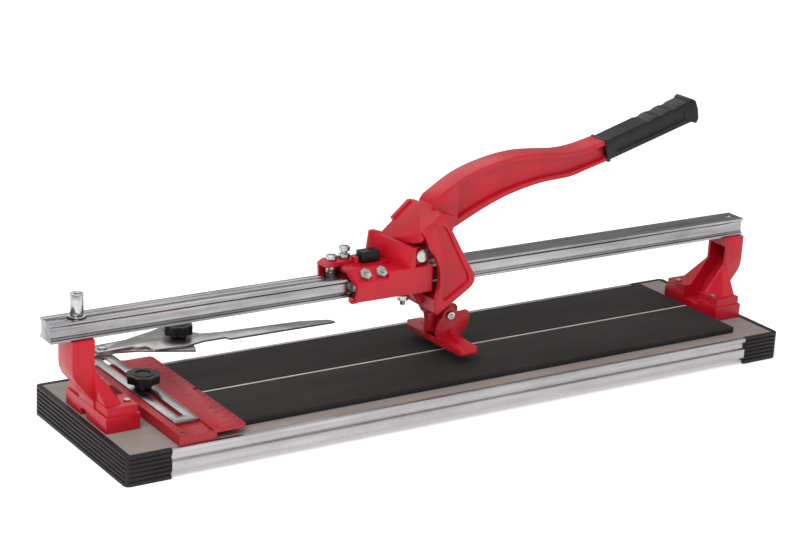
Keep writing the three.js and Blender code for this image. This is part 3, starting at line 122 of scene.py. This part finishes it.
class Nodes:
    """A node tree under construction."""

    def __init__(self, tree: bpy.types.NodeTree) -> None:
        """Keeps the tree.

        Args:
            tree: The tree that the nodes go into.
        """
        self.tree = tree

    def add(self, kind: str, inputs: dict | None = None, **settings: object) -> bpy.types.Node:
        """Adds a node with its settings and links.

        Args:
            kind: The node's type name, without its ShaderNode prefix.
            inputs: Socket name or number to a value, or to the output socket that feeds it.
            settings: The node's own properties.

        Returns:
            The new node.
        """
        node = self.tree.nodes.new("ShaderNode" + kind)
        for key, value in settings.items():
            setattr(node, key, value)
        for key, value in (inputs or {}).items():
            self.feed(node.inputs[key], value)
        return node

    def feed(self, socket: Socket, value: object) -> None:
        """Sets or links a socket.

        Args:
            socket: The input socket.
            value: A value to set, or an output socket to link.
        """
        if isinstance(value, Socket):
            self.tree.links.new(value, socket)
        else:
            socket.default_value = value

    def place(self, scale: Sequence[float] = (1, 1, 1)) -> Socket:
        """Object coordinates, stretched.

        Args:
            scale: The stretch on each axis.

        Returns:
            The coordinates.
        """
        source = self.add("TexCoord").outputs["Object"]
        mapping = self.add("Mapping", {"Vector": source, "Scale": tuple(scale)})
        return mapping.outputs["Vector"]

    def noise(self, where: Socket, scale: float, detail: float, rough: float = 0.5) -> Socket:
        """A noise pattern.

        Args:
            where: The coordinates.
            scale: Its scale.
            detail: Its octaves.
            rough: How much the finer octaves show.

        Returns:
            The pattern's factor.
        """
        sockets = {"Vector": where, "Scale": scale, "Detail": detail, "Roughness": rough}
        return self.add("TexNoise", sockets).outputs["Fac"]

    def ramp(self, factor: Socket, stops: Sequence[tuple[float, object]]) -> Socket:
        """A colour ramp's colour.

        Args:
            factor: What drives the ramp.
            stops: Position and colour pairs; a colour is hex digits or a grey level.

        Returns:
            The ramp's colour output.
        """
        node = self.add("ValToRGB", {"Fac": factor})
        elements = node.color_ramp.elements
        while len(elements) < len(stops):
            elements.new(0.5)
        for element, (position, colour) in zip(elements, stops):
            element.position = position
            element.color = linear(colour) if isinstance(colour, str) else (colour, colour, colour, 1)
        return node.outputs["Color"]

    def span(self, factor: Socket, low: float, high: float) -> Socket:
        """Maps a factor to a range.

        Args:
            factor: The factor, 0 to 1.
            low: The result at 0.
            high: The result at 1.

        Returns:
            The result.
        """
        return self.add("MapRange", {"Value": factor, "To Min": low, "To Max": high}).outputs["Result"]

    def bump(self, height: Socket, strength: float, depth_mm: float, after: object = None) -> Socket:
        """A bump normal from a height pattern.

        Args:
            height: The pattern.
            strength: How much of the bump shows, 0 to 1.
            depth_mm: The height between the pattern's 0 and 1.
            after: A normal to add this bump to, or None.

        Returns:
            The bumped normal.
        """
        node = self.add("Bump", {"Height": height, "Strength": strength, "Distance": depth_mm * MM})
        if after is not None:
            self.feed(node.inputs["Normal"], after)
        return node.outputs["Normal"]


class Shader(Nodes):
    """A node material under construction."""

    def __init__(self, name: str) -> None:
        """Starts a material with one Principled shader.

        Args:
            name: The material's name.
        """
        self.material = bpy.data.materials.new(name)
        self.material.use_nodes = True
        super().__init__(self.material.node_tree)
        self.principled = self.tree.nodes["Principled BSDF"]

    def surface(self, **values: object) -> None:
        """Sets the Principled shader's sockets.

        Args:
            values: Socket name to value or output socket; an underscore in a name stands for a space.
        """
        for key, value in values.items():
            self.feed(self.principled.inputs[key.replace("_", " ")], value)


# ---- finishes ------------------------------------------------------------------------------------------
@dataclass(frozen=True)
class CastEnamel:
    """Die-cast aluminium, sprayed with semi-gloss enamel: even colour over a soft orange peel."""

    name: str
    bright: str
    deep: str
    worn: str
    roughness: tuple[float, float] = (0.30, 0.44)
    peel_mm: float = 1.6
    cast_mm: float = 9.0
    cloud_mm: float = 45.0
    chip_mm: float = 2.2
    sheen_mm: float = 14.0

    def make(self) -> bpy.types.Material:
        """Builds the material.

        Returns:
            The material.
        """
        shader = Shader(self.name)
        where = shader.place()
        cloud = shader.noise(where, per_mm(self.cloud_mm), 4)
        colour = shader.ramp(cloud, [(0.3, self.deep), (0.7, self.bright)])
        specks = shader.noise(where, per_mm(self.chip_mm), 6, 0.7)
        chips = shader.ramp(specks, [(0.715, 0.0), (0.735, 1.0)])
        mixed = shader.add("MixRGB", {"Fac": chips, "Color1": colour, "Color2": linear(self.worn)})
        sheen = shader.noise(where, per_mm(self.sheen_mm), 3)
        peel = shader.noise(where, per_mm(self.peel_mm), 2)
        cast = shader.noise(where, per_mm(self.cast_mm), 3)
        normal = shader.bump(peel, 0.35, 0.05)
        normal = shader.bump(cast, 0.5, 0.22, normal)
        shader.surface(
            Base_Color=mixed.outputs["Color"],
            Roughness=shader.span(sheen, *self.roughness),
            IOR=1.5,
            Specular_IOR_Level=0.32,
            Coat_Weight=0.12,
            Coat_Roughness=0.15,
            Normal=normal,
        )
        return shader.material


@dataclass(frozen=True)
class ExtrudedAluminium:
    """Mill-finish aluminium drawn through a die along X: long fine die lines and a cloudy oxide."""

    name: str
    light: str
    dark: str
    roughness: tuple[float, float]
    line_mm: float = 0.5
    band_mm: float = 5.0
    cloud_mm: float = 22.0

    def make(self) -> bpy.types.Material:
        """Builds the material.

        Returns:
            The material.
        """
        shader = Shader(self.name)
        lines = shader.noise(shader.place((0.006, 1, 1)), per_mm(self.line_mm), 4, 0.6)
        bands = shader.noise(shader.place((0.02, 1, 1)), per_mm(self.band_mm), 3, 0.6)
        cloud = shader.noise(shader.place((0.25, 1, 1)), per_mm(self.cloud_mm), 4, 0.6)
        tone = shader.add("MixRGB", {"Fac": 0.5, "Color1": bands, "Color2": cloud})
        colour = shader.ramp(tone.outputs["Color"], [(0.32, self.dark), (0.66, self.light)])
        shader.surface(
            Base_Color=colour,
            Metallic=1.0,
            Roughness=shader.span(cloud, *self.roughness),
            Normal=shader.bump(lines, 0.5, 0.03),
        )
        return shader.material


@dataclass(frozen=True)
class PlatedSteel:
    """Steel with a bright electroplated skin: pale, slightly mottled, with fine scuffs."""

    name: str
    light: str
    dark: str
    roughness: tuple[float, float]
    grain_mm: float = 0.9
    mottle_mm: float = 4.5

    def make(self) -> bpy.types.Material:
        """Builds the material.

        Returns:
            The material.
        """
        shader = Shader(self.name)
        where = shader.place()
        mottle = shader.noise(where, per_mm(self.mottle_mm), 5, 0.65)
        grain = shader.noise(where, per_mm(self.grain_mm), 3)
        shader.surface(
            Base_Color=shader.ramp(mottle, [(0.35, self.dark), (0.62, self.light)]),
            Metallic=1.0,
            Roughness=shader.span(mottle, *self.roughness),
            Normal=shader.bump(grain, 0.3, 0.02),
        )
        return shader.material


@dataclass(frozen=True)
class PressedSteel:
    """Cold-rolled sheet steel, punched and polished: faint lines along its rolling direction."""

    name: str
    light: str
    dark: str
    roughness: tuple[float, float]
    stretch: tuple[float, float, float]
    line_mm: float = 0.8
    cloud_mm: float = 16.0

    def make(self) -> bpy.types.Material:
        """Builds the material.

        Returns:
            The material.
        """
        shader = Shader(self.name)
        lines = shader.noise(shader.place(self.stretch), per_mm(self.line_mm), 4, 0.6)
        cloud = shader.noise(shader.place(), per_mm(self.cloud_mm), 4, 0.55)
        shader.surface(
            Base_Color=shader.ramp(cloud, [(0.3, self.dark), (0.68, self.light)]),
            Metallic=1.0,
            Roughness=shader.span(cloud, *self.roughness),
            Normal=shader.bump(lines, 0.35, 0.02),
        )
        return shader.material


@dataclass(frozen=True)
class Moulded:
    """Moulded or calendered plastic or rubber: even colour, fine grain and a soft cloud of handling."""

    name: str
    light: str
    dark: str
    roughness: tuple[float, float]
    grain_mm: float
    grain_depth_mm: float
    ior: float = 1.5
    specular: float = 0.3
    cloud_mm: float = 30.0
    stretch: tuple[float, float, float] = (1, 1, 1)

    def make(self) -> bpy.types.Material:
        """Builds the material.

        Returns:
            The material.
        """
        shader = Shader(self.name)
        where = shader.place(self.stretch)
        cloud = shader.noise(where, per_mm(self.cloud_mm), 5, 0.6)
        grain = shader.noise(shader.place(), per_mm(self.grain_mm), 3, 0.6)
        shader.surface(
            Base_Color=shader.ramp(cloud, [(0.32, self.dark), (0.7, self.light)]),
            Roughness=shader.span(grain, *self.roughness),
            IOR=self.ior,
            Specular_IOR_Level=self.specular,
            Normal=shader.bump(grain, 0.6, self.grain_depth_mm),
        )
        return shader.material


@dataclass(frozen=True)
class Backdrop:
    """Matt white paper under studio light: even and bright, with the faintest tooth."""

    name: str
    light: str
    glow: float
    dark: str = "F4F4F4"
    tooth_mm: float = 3.0

    def make(self) -> bpy.types.Material:
        """Builds the material.

        Returns:
            The material.
        """
        shader = Shader(self.name)
        tooth = shader.noise(shader.place(), per_mm(self.tooth_mm), 3)
        shader.surface(
            Base_Color=shader.ramp(tooth, [(0.2, self.dark), (0.8, self.light)]),
            Roughness=0.8,
            Emission_Color=linear(self.light),
            Emission_Strength=self.glow,
        )
        return shader.material


class Finish(Enum):
    """The finishes of the cutter's pieces, by what each is made of."""

    RED = CastEnamel("enamel_sprayed_red", "C60D26", "AA091D", "740512")
    FENCE_RED = CastEnamel("enamel_sprayed_fence", "AE1F2B", "961823", "6E0E17", roughness=(0.4, 0.54))
    RAIL = ExtrudedAluminium("aluminium_extruded_rail", "B4B2B4", "6E6C70", (0.16, 0.28))
    EDGE = ExtrudedAluminium("aluminium_extruded_edge", "C2BFC0", "9C999B", (0.3, 0.44))
    ZINC = PlatedSteel("steel_zinc_plated", "C9CAC9", "AEB0B1", (0.2, 0.28))
    SHEET = PressedSteel("steel_pressed_polished", "B8B6B4", "979494", (0.24, 0.36), (1, 0.02, 1))
    BLADE = PressedSteel("steel_pressed_blade", "BDBAB9", "979493", (0.3, 0.42), (0.02, 1, 1))
    BOARD = Moulded(
        "hardboard_lacquered_grey", "988D88", "857A75", (0.5, 0.66), 1.2, 0.04, stretch=(0.3, 1, 1)
    )
    PAD = Moulded("rubber_calendered_pad", "302A2A", "221E1E", (0.72, 0.9), 1.1, 0.08, stretch=(0.25, 1, 1))
    GRIP = Moulded("rubber_moulded_grip", "161315", "0C0A0B", (0.3, 0.42), 0.9, 0.04)
    BLACK = Moulded("polypropylene_moulded_black", "261D21", "191316", (0.46, 0.6), 1.0, 0.05)
    KNOB = Moulded("nylon_moulded_knob", "1B1819", "100E0F", (0.34, 0.48), 0.8, 0.04)
    STRIP = Moulded("pvc_extruded_strip", "C4BDB7", "AEA6A0", (0.42, 0.56), 1.0, 0.03)
    # dark ink for the printed ruler marks, and also painted shade for the fence's two small holes
    INK = Moulded("ink_printed_and_painted_shade", "2E1619", "200E10", (0.5, 0.6), 1.0, 0.02)
    FLOOR = Backdrop("paper_matt_backdrop", "FFFFFF", 0.36)

    def material(self) -> bpy.types.Material:
        """The finish's material, made the first time it is asked for.

        Returns:
            The material.
        """
        found = bpy.data.materials.get(self.value.name)
        return found or self.value.make()


# ---- pieces --------------------------------------------------------------------------------------------
def finish_mesh(mesh: bpy.types.Mesh, finish: Finish, smooth_deg: float) -> None:
    """Gives a mesh its material and its smooth shading.

    Args:
        mesh: The mesh.
        finish: Its finish.
        smooth_deg: Edges sharper than this stay sharp.
    """
    mesh.materials.clear()
    mesh.materials.append(finish.material())
    mesh.polygons.foreach_set("use_smooth", [True] * len(mesh.polygons))
    mesh.set_sharp_from_angle(angle=math.radians(smooth_deg))


def new_piece(
    name: str, bm: Shape, finish: Finish, body: str, smooth_deg: float = CREASE_DEG
) -> Piece:
    """Turns a bmesh into a piece that rides on a body.

    Args:
        name: The piece's name.
        bm: Its shape, in the row frame; it is freed.
        finish: Its finish.
        body: The body it moves with.
        smooth_deg: Edges sharper than this stay sharp.

    Returns:
        The piece.
    """
    mesh = bpy.data.meshes.new(name)
    bm.to_mesh(mesh)
    bm.free()
    finish_mesh(mesh, finish, smooth_deg)
    piece = bpy.data.objects.new(name, mesh)
    bpy.context.scene.collection.objects.link(piece)
    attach(piece, body)
    log.info("piece %s on %s, %d faces", name, body, len(mesh.polygons))
    return piece


def body_of_node(node: str) -> str:
    """The body that a frame node rides on.

    Args:
        node: The node.

    Returns:
        The body's name.
    """
    return frame["nodes"][node]["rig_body"]


def node_shape(node: str) -> Shape:
    """A merged copy of a frame node's mesh, with its flats joined into a few convex faces.

    Args:
        node: The node.

    Returns:
        The copy.
    """
    bm = bmesh.new()
    bm.from_mesh(frame["nodes"][node].data)
    bmesh.ops.remove_doubles(bm, verts=bm.verts, dist=MERGE_MM * MM)
    bmesh.ops.dissolve_limit(
        bm,
        angle_limit=math.radians(FLAT_DEG),
        use_dissolve_boundaries=False,
        verts=bm.verts,
        edges=bm.edges,
        delimit=set(),
    )
    bmesh.ops.connect_verts_concave(bm, faces=bm.faces)
    return bm


def round_edges(bm: Shape, radius_mm: float, segments: int) -> None:
    """Rounds a shape's sharp edges.

    Args:
        bm: The shape.
        radius_mm: The rounding's width.
        segments: Its number of steps.
    """
    limit = math.radians(SHARP_DEG)
    bmesh.ops.bevel(
        bm,
        geom=[e for e in bm.edges if e.is_manifold and e.calc_face_angle(0.0) > limit],
        offset=radius_mm * MM,
        offset_type="OFFSET",
        affect="EDGES",
        segments=segments,
        profile=0.5,
        clamp_overlap=True,
        material=-1,
    )


def rounded_node(node: str, finish: Finish, radius_mm: float, segments: int = 2) -> Piece:
    """A piece that stands for a frame node, with its edges rounded.

    Args:
        node: The node.
        finish: The piece's finish.
        radius_mm: The rounding's width.
        segments: Its number of steps.

    Returns:
        The piece.
    """
    bm = node_shape(node)
    round_edges(bm, radius_mm, segments)
    piece = new_piece(node + "_body", bm, finish, body_of_node(node))
    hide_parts(node)
    return piece


def block(bm: Shape, low: Sequence[float], high: Sequence[float]) -> None:
    """Adds a block between two corners.

    Args:
        bm: The shape that it goes into.
        low: Its low corner, in millimetres.
        high: Its high corner, in millimetres.
    """
    size = [(h - l) * MM for l, h in zip(low, high)]
    middle = [(h + l) / 2 * MM for l, h in zip(low, high)]
    matrix = Matrix.Translation(middle) @ Matrix.Diagonal((*size, 1))
    bmesh.ops.create_cube(bm, size=1.0, matrix=matrix)


def spun(bm: Shape, profile_mm: Sequence[tuple[float, float]], steps: int) -> None:
    """Spins a closed profile round the Z axis into a ring.

    Args:
        bm: An empty shape.
        profile_mm: Radius and height points, in order round the profile.
        steps: Steps round the turn.
    """
    verts = [bm.verts.new((r * MM, 0, h * MM)) for r, h in profile_mm]
    edges = [bm.edges.new(pair) for pair in zip(verts, [*verts[1:], verts[0]])]
    bmesh.ops.spin(
        bm,
        geom=verts + edges,
        cent=(0, 0, 0),
        axis=(0, 0, 1),
        angle=math.tau,
        steps=steps,
        use_merge=True,
        use_duplicate=False,
    )
    bmesh.ops.recalc_face_normals(bm, faces=bm.faces)


def thread_profile(radius: float, start: float, end: float) -> list[tuple[float, float]]:
    """Radius and height points of a threaded rod's side, as close rings, in millimetres.

    Args:
        radius: The crests' radius.
        start: Where the thread starts.
        end: Where it ends.

    Returns:
        The points from start to end.
    """
    turns = max(1, int(abs(end - start) / THREAD_PITCH_MM))
    step = (end - start) / turns
    root = radius - THREAD_DEPTH_MM
    points = []
    for i in range(turns):
        points += [(root, start + step * i), (radius, start + step * (i + 0.5))]
    return [*points, (root, end)]


def threaded_sleeve(
    name: str, at_mm: tuple[float, float], z_mm: tuple[float, float], radius_mm: float, body: str
) -> None:
    """A thread's crests round a plain rod.

    Args:
        name: The piece's name.
        at_mm: The rod's axis.
        z_mm: Where the thread starts and ends.
        radius_mm: The rod's radius.
        body: The body it moves with.
    """
    outside = thread_profile(radius_mm + THREAD_PROUD_MM, *z_mm)
    inner = radius_mm - THREAD_SUNK_MM
    inside = [(inner, z_mm[1]), (inner, z_mm[0])]
    bm = bmesh.new()
    spun(bm, [*outside, *inside], THREAD_STEPS)
    bmesh.ops.translate(bm, vec=(at_mm[0] * MM, at_mm[1] * MM, 0), verts=bm.verts)
    new_piece(name, bm, Finish.ZINC, body, THREAD_CREASE_DEG)


# ---- base ----------------------------------------------------------------------------------------------
@dataclass
class Base:
    """The board with its aluminium edges, ribbed end caps, pads and breaking ridge."""

    cap_round_mm: float = 0.7
    edge_round_mm: float = 0.35
    pad_round_mm: float = 0.8

    def build(self) -> None:
        """Builds every piece of the base."""
        rounded_node("base_board", Finish.BOARD, self.edge_round_mm)
        for node in ("front_edge_profile", "rear_edge_profile"):
            rounded_node(node, Finish.EDGE, self.edge_round_mm)
        for node in ("left_end_cap", "right_end_cap"):
            rounded_node(node, Finish.BLACK, self.cap_round_mm)
        for node in ("front_pad", "rear_pad"):
            rounded_node(node, Finish.PAD, self.pad_round_mm)
        rounded_node("breaking_ridge", Finish.STRIP, self.edge_round_mm)


# ---- rail and posts ------------------------------------------------------------------------------------
@dataclass
class Rail:
    """The guide rail, its two cast posts and the fixings between them."""

    rail_round_mm: float = 0.5
    post_round_mm: float = 1.6
    screw_round_mm: float = 0.4

    def build(self) -> None:
        """Builds the rail, the posts and their fixings."""
        rounded_node("guide_rail", Finish.RAIL, self.rail_round_mm)
        for side in ("left", "right"):
            rounded_node(f"{side}_post", Finish.RED, self.post_round_mm, 3)
            for end in ("front", "rear"):
                rounded_node(f"{side}_post_screw_{end}", Finish.ZINC, self.screw_round_mm)
        for node in ("rail_stud", "rail_stud_washer", "rail_bolt"):
            rounded_node(node, Finish.ZINC, self.screw_round_mm)


# ---- fence ---------------------------------------------------------------------------------------------
@dataclass
class Fence:
    """The ruler fence, the slotted bar, the angle blade and their knobs."""

    casting_round_mm: float = 0.6
    sheet_round_mm: float = 0.25
    knob_round_mm: float = 1.2
    mark_rows_mm: tuple[tuple[float, float], ...] = ((10.0, 1.2), (12.7, 11.0))  # pitch and inset
    mark_mm: tuple[float, float, float] = (6.0, 0.6, 0.1)
    long_mark_every: int = 5
    short_mark_share: float = 0.72
    mark_end_gap_mm: float = 6.0
    wing_drop_mm: float = 0.5
    shade_disc_radius_mm: float = 1.3
    # the six fields below size the two dark discs of painted shade that stand for two small holes in the
    # fence's front end
    shade_disc_height_mm: float = 0.25
    shade_disc_bore_mm: float = 0.2
    shade_disc_insets_mm: tuple[float, float] = (6.0, 33.0)
    shade_disc_end_gap_mm: float = 4.0
    shade_disc_steps: int = 20

    def build(self) -> None:
        """Builds the fence set."""
        rounded_node("fence", Finish.FENCE_RED, self.casting_round_mm)
        rounded_node("slotted_bar", Finish.SHEET, self.sheet_round_mm)
        rounded_node("quadrant_plate", Finish.BLADE, self.sheet_round_mm)
        rounded_node("angle_blade", Finish.BLADE, self.sheet_round_mm)
        rounded_node("pivot_rivet", Finish.ZINC, self.sheet_round_mm)
        rounded_node("bar_knob", Finish.KNOB, self.knob_round_mm, 3)
        rounded_node("blade_knob", Finish.KNOB, self.knob_round_mm, 3)
        self.ruler_marks()
        self.hole_shade_discs()

    def ruler_marks(self) -> None:
        """Prints the two rows of ruler marks along the fence's thin wing."""
        _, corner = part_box("fence")
        edge, half, top = corner[0] / MM, corner[1] / MM, corner[2] / MM - self.wing_drop_mm
        length, width, height = self.mark_mm
        bm = bmesh.new()
        for pitch, inset in self.mark_rows_mm:
            count = int((half - self.mark_end_gap_mm) / pitch)
            right = edge - inset
            for i in range(-count, count + 1):
                if i == 0:
                    continue
                left = right - (length if i % self.long_mark_every == 0 else length * self.short_mark_share)
                low = (left, i * pitch - width / 2, top - height)
                block(bm, low, (right, i * pitch + width / 2, top + height))
        new_piece("ruler_marks", bm, Finish.INK, body_of_node("fence"))

    def hole_shade_discs(self) -> None:
        """Sets two dark discs into the fence's front end: painted shade where the fence has two small
        holes.
        """
        low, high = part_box("fence")
        radius, height, bore = self.shade_disc_radius_mm, self.shade_disc_height_mm, self.shade_disc_bore_mm
        side = [(bore, -height), (radius, -height), (radius, height * 0.4)]
        crown = [(radius * 0.6, height), (bore, height)]
        # each disc is dark ink that paints the shade inside a small hole
        for number, inset in enumerate(self.shade_disc_insets_mm, 1):
            bm = bmesh.new()
            spun(bm, [*side, *crown], self.shade_disc_steps)
            at = (low[0] + inset * MM, self.shade_disc_end_gap_mm * MM - high[1], high[2])
            bmesh.ops.translate(bm, vec=at, verts=bm.verts)
            new_piece(f"fence_hole_shade_{number}", bm, Finish.INK, body_of_node("fence"))


# ---- carriage ------------------------------------------------------------------------------------------
@dataclass
class Carriage:
    """The cast housing that runs on the rail, with its rollers, bolts and bumper."""

    casting_round_mm: float = 1.2
    bolt_round_mm: float = 0.5
    thread_radius_mm: float = 2.2
    head_height_mm: float = 4.6
    hanging_thread_mm: tuple[float, float] = (0.4, 6.4)  # up from the bolt's foot
    raised_thread_mm: tuple[float, float] = (3.0, 0.2)  # down from the bolt's head

    def build(self) -> None:
        """Builds the carriage."""
        rounded_node("carriage_body", Finish.RED, self.casting_round_mm, 3)
        for side in ("front", "rear"):
            for i in (1, 2, 3):
                rounded_node(f"{side}_roller_{i}", Finish.ZINC, self.bolt_round_mm)
                rounded_node(f"{side}_roller_bolt_{i}", Finish.ZINC, self.bolt_round_mm)
        rounded_node("bumper_block", Finish.KNOB, self.casting_round_mm)
        rounded_node("pivot_bolt", Finish.ZINC, self.bolt_round_mm)
        for node in ("adjuster_1", "adjuster_2"):
            rounded_node(node, Finish.ZINC, self.bolt_round_mm)
        self.threads()

    def threads(self) -> None:
        """Adds the thread crests that show on the two hanging bolts and the raised one."""
        start, end = self.hanging_thread_mm
        for side in ("front", "rear"):
            middle, foot, _ = self.upright(f"{side}_roller_bolt_3")
            span = (foot + start, foot + end)
            threaded_sleeve(f"{side}_low_thread", middle, span, self.thread_radius_mm, "carriage")
        start, end = self.raised_thread_mm
        middle, _, top = self.upright("rear_roller_bolt_2")
        head = top - self.head_height_mm
        span = (head - start, head - end)
        threaded_sleeve("rear_high_thread", middle, span, self.thread_radius_mm, "carriage")

    def upright(self, node: str) -> tuple[tuple[float, float], float, float]:
        """Where an upright bolt stands.

        Args:
            node: The bolt's node.

        Returns:
            Its axis, its foot and its top, in millimetres.
        """
        low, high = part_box(node)
        axis = ((low[0] + high[0]) / 2 / MM, (low[1] + high[1]) / 2 / MM)
        return axis, low[2] / MM, high[2] / MM


# ---- lever ---------------------------------------------------------------------------------------------
@dataclass
class Lever:
    """The lever with its grip, scoring wheel and hinged breaking foot."""

    casting_round_mm: float = 1.6
    grip_round_mm: float = 3.0
    foot_round_mm: float = 1.0
    small_round_mm: float = 0.3

    def build(self) -> None:
        """Builds the lever."""
        rounded_node("lever_body", Finish.RED, self.casting_round_mm, 3)
        rounded_node("grip", Finish.GRIP, self.grip_round_mm, 3)
        rounded_node("breaking_foot", Finish.RED, self.foot_round_mm, 3)
        for node in ("wheel_axle", "foot_pin"):
            rounded_node(node, Finish.ZINC, self.small_round_mm)
        rounded_node("scoring_wheel", Finish.ZINC, self.small_round_mm)


# ---- studio --------------------------------------------------------------------------------------------
@dataclass
class Studio:
    """A pale floor, soft lights and the camera."""

    camera_mm: tuple[float, float, float] = (-1223.1, -1761.9, 829.3)
    azimuth_deg: float = 33.855
    elevation_deg: float = 18.10
    roll_deg: float = 3.07
    lens: float = 98.0
    floor_m: float = 14.0
    sky: float = 0.75
    sky_stops: tuple[tuple[float, float], ...] = ((0.0, 0.34), (0.34, 0.42), (0.6, 0.85), (1.0, 1.0))
    aim_m: tuple[float, float, float] = (0.0, 0.0, 0.1)
    lights: tuple[tuple[str, tuple[float, float, float], float, float], ...] = (
        ("key", (-1.8, -1.4, 2.4), 1.8, 58.0),
        ("fill", (2.4, -1.6, 1.8), 2.2, 7.0),
        ("back", (0.4, 2.4, 2.2), 2.4, 16.0),
    )

    def build(self) -> None:
        """Builds the floor, the world, the lights and the camera."""
        self.floor()
        self.world()
        for name, at, size, power in self.lights:
            self.area(name, at, size, power)
        self.camera()

    def floor(self) -> None:
        """A wide matt floor."""
        bm = bmesh.new()
        bmesh.ops.create_grid(bm, x_segments=1, y_segments=1, size=self.floor_m / 2)
        mesh = bpy.data.meshes.new("floor")
        bm.to_mesh(mesh)
        bm.free()
        mesh.materials.append(Finish.FLOOR.material())
        floor = bpy.data.objects.new("floor", mesh)
        bpy.context.scene.collection.objects.link(floor)

    def world(self) -> None:
        """A white tent that is darker towards the horizon, which draws the edges of the bright metal."""
        world = bpy.data.worlds.new("surround")
        world.use_nodes = True
        nodes = Nodes(world.node_tree)
        direction = nodes.add("TexCoord").outputs["Generated"]
        height = nodes.add("SeparateXYZ", {"Vector": direction}).outputs["Z"]
        background = world.node_tree.nodes["Background"]
        nodes.feed(background.inputs["Color"], nodes.ramp(height, self.sky_stops))
        nodes.feed(background.inputs["Strength"], self.sky)
        bpy.context.scene.world = world

    def area(self, name: str, at: Sequence[float], size: float, power: float) -> None:
        """A square soft light that faces the cutter.

        Args:
            name: The light's name.
            at: Its place, in metres.
            size: Its side, in metres.
            power: Its power, in watts.
        """
        light = bpy.data.lights.new(name, "AREA")
        light.size = size
        light.energy = power
        lamp = bpy.data.objects.new(name, light)
        lamp.location = at
        lamp.rotation_euler = (Vector(self.aim_m) - Vector(at)).to_track_quat("-Z", "Y").to_euler()
        bpy.context.scene.collection.objects.link(lamp)

    def camera(self) -> None:
        """The camera, rolled a little."""
        data = bpy.data.cameras.new("camera")
        data.lens = self.lens
        data.sensor_width = 36
        data.clip_start, data.clip_end = 0.05, 50
        camera = bpy.data.objects.new("camera", data)
        azimuth, elevation = math.radians(self.azimuth_deg), math.radians(self.elevation_deg)
        forward = Vector((
            math.sin(azimuth) * math.cos(elevation),
            math.cos(azimuth) * math.cos(elevation),
            -math.sin(elevation),
        ))
        roll = Matrix.Rotation(math.radians(self.roll_deg), 3, "Z").to_quaternion()
        camera.rotation_mode = "QUATERNION"
        camera.rotation_quaternion = forward.to_track_quat("-Z", "Y") @ roll
        camera.location = Vector(self.camera_mm) * MM
        bpy.context.scene.collection.objects.link(camera)
        bpy.context.scene.camera = camera


def main() -> None:
    """Builds the cutter and its studio."""
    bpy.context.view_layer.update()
    for part in (Base(), Rail(), Fence(), Carriage(), Lever()):
        log.info("building %s", type(part).__name__)
        part.build()
    Studio().build()
    bpy.context.scene.view_settings.view_transform = "Standard"


if __name__ == "__main__":
    main()
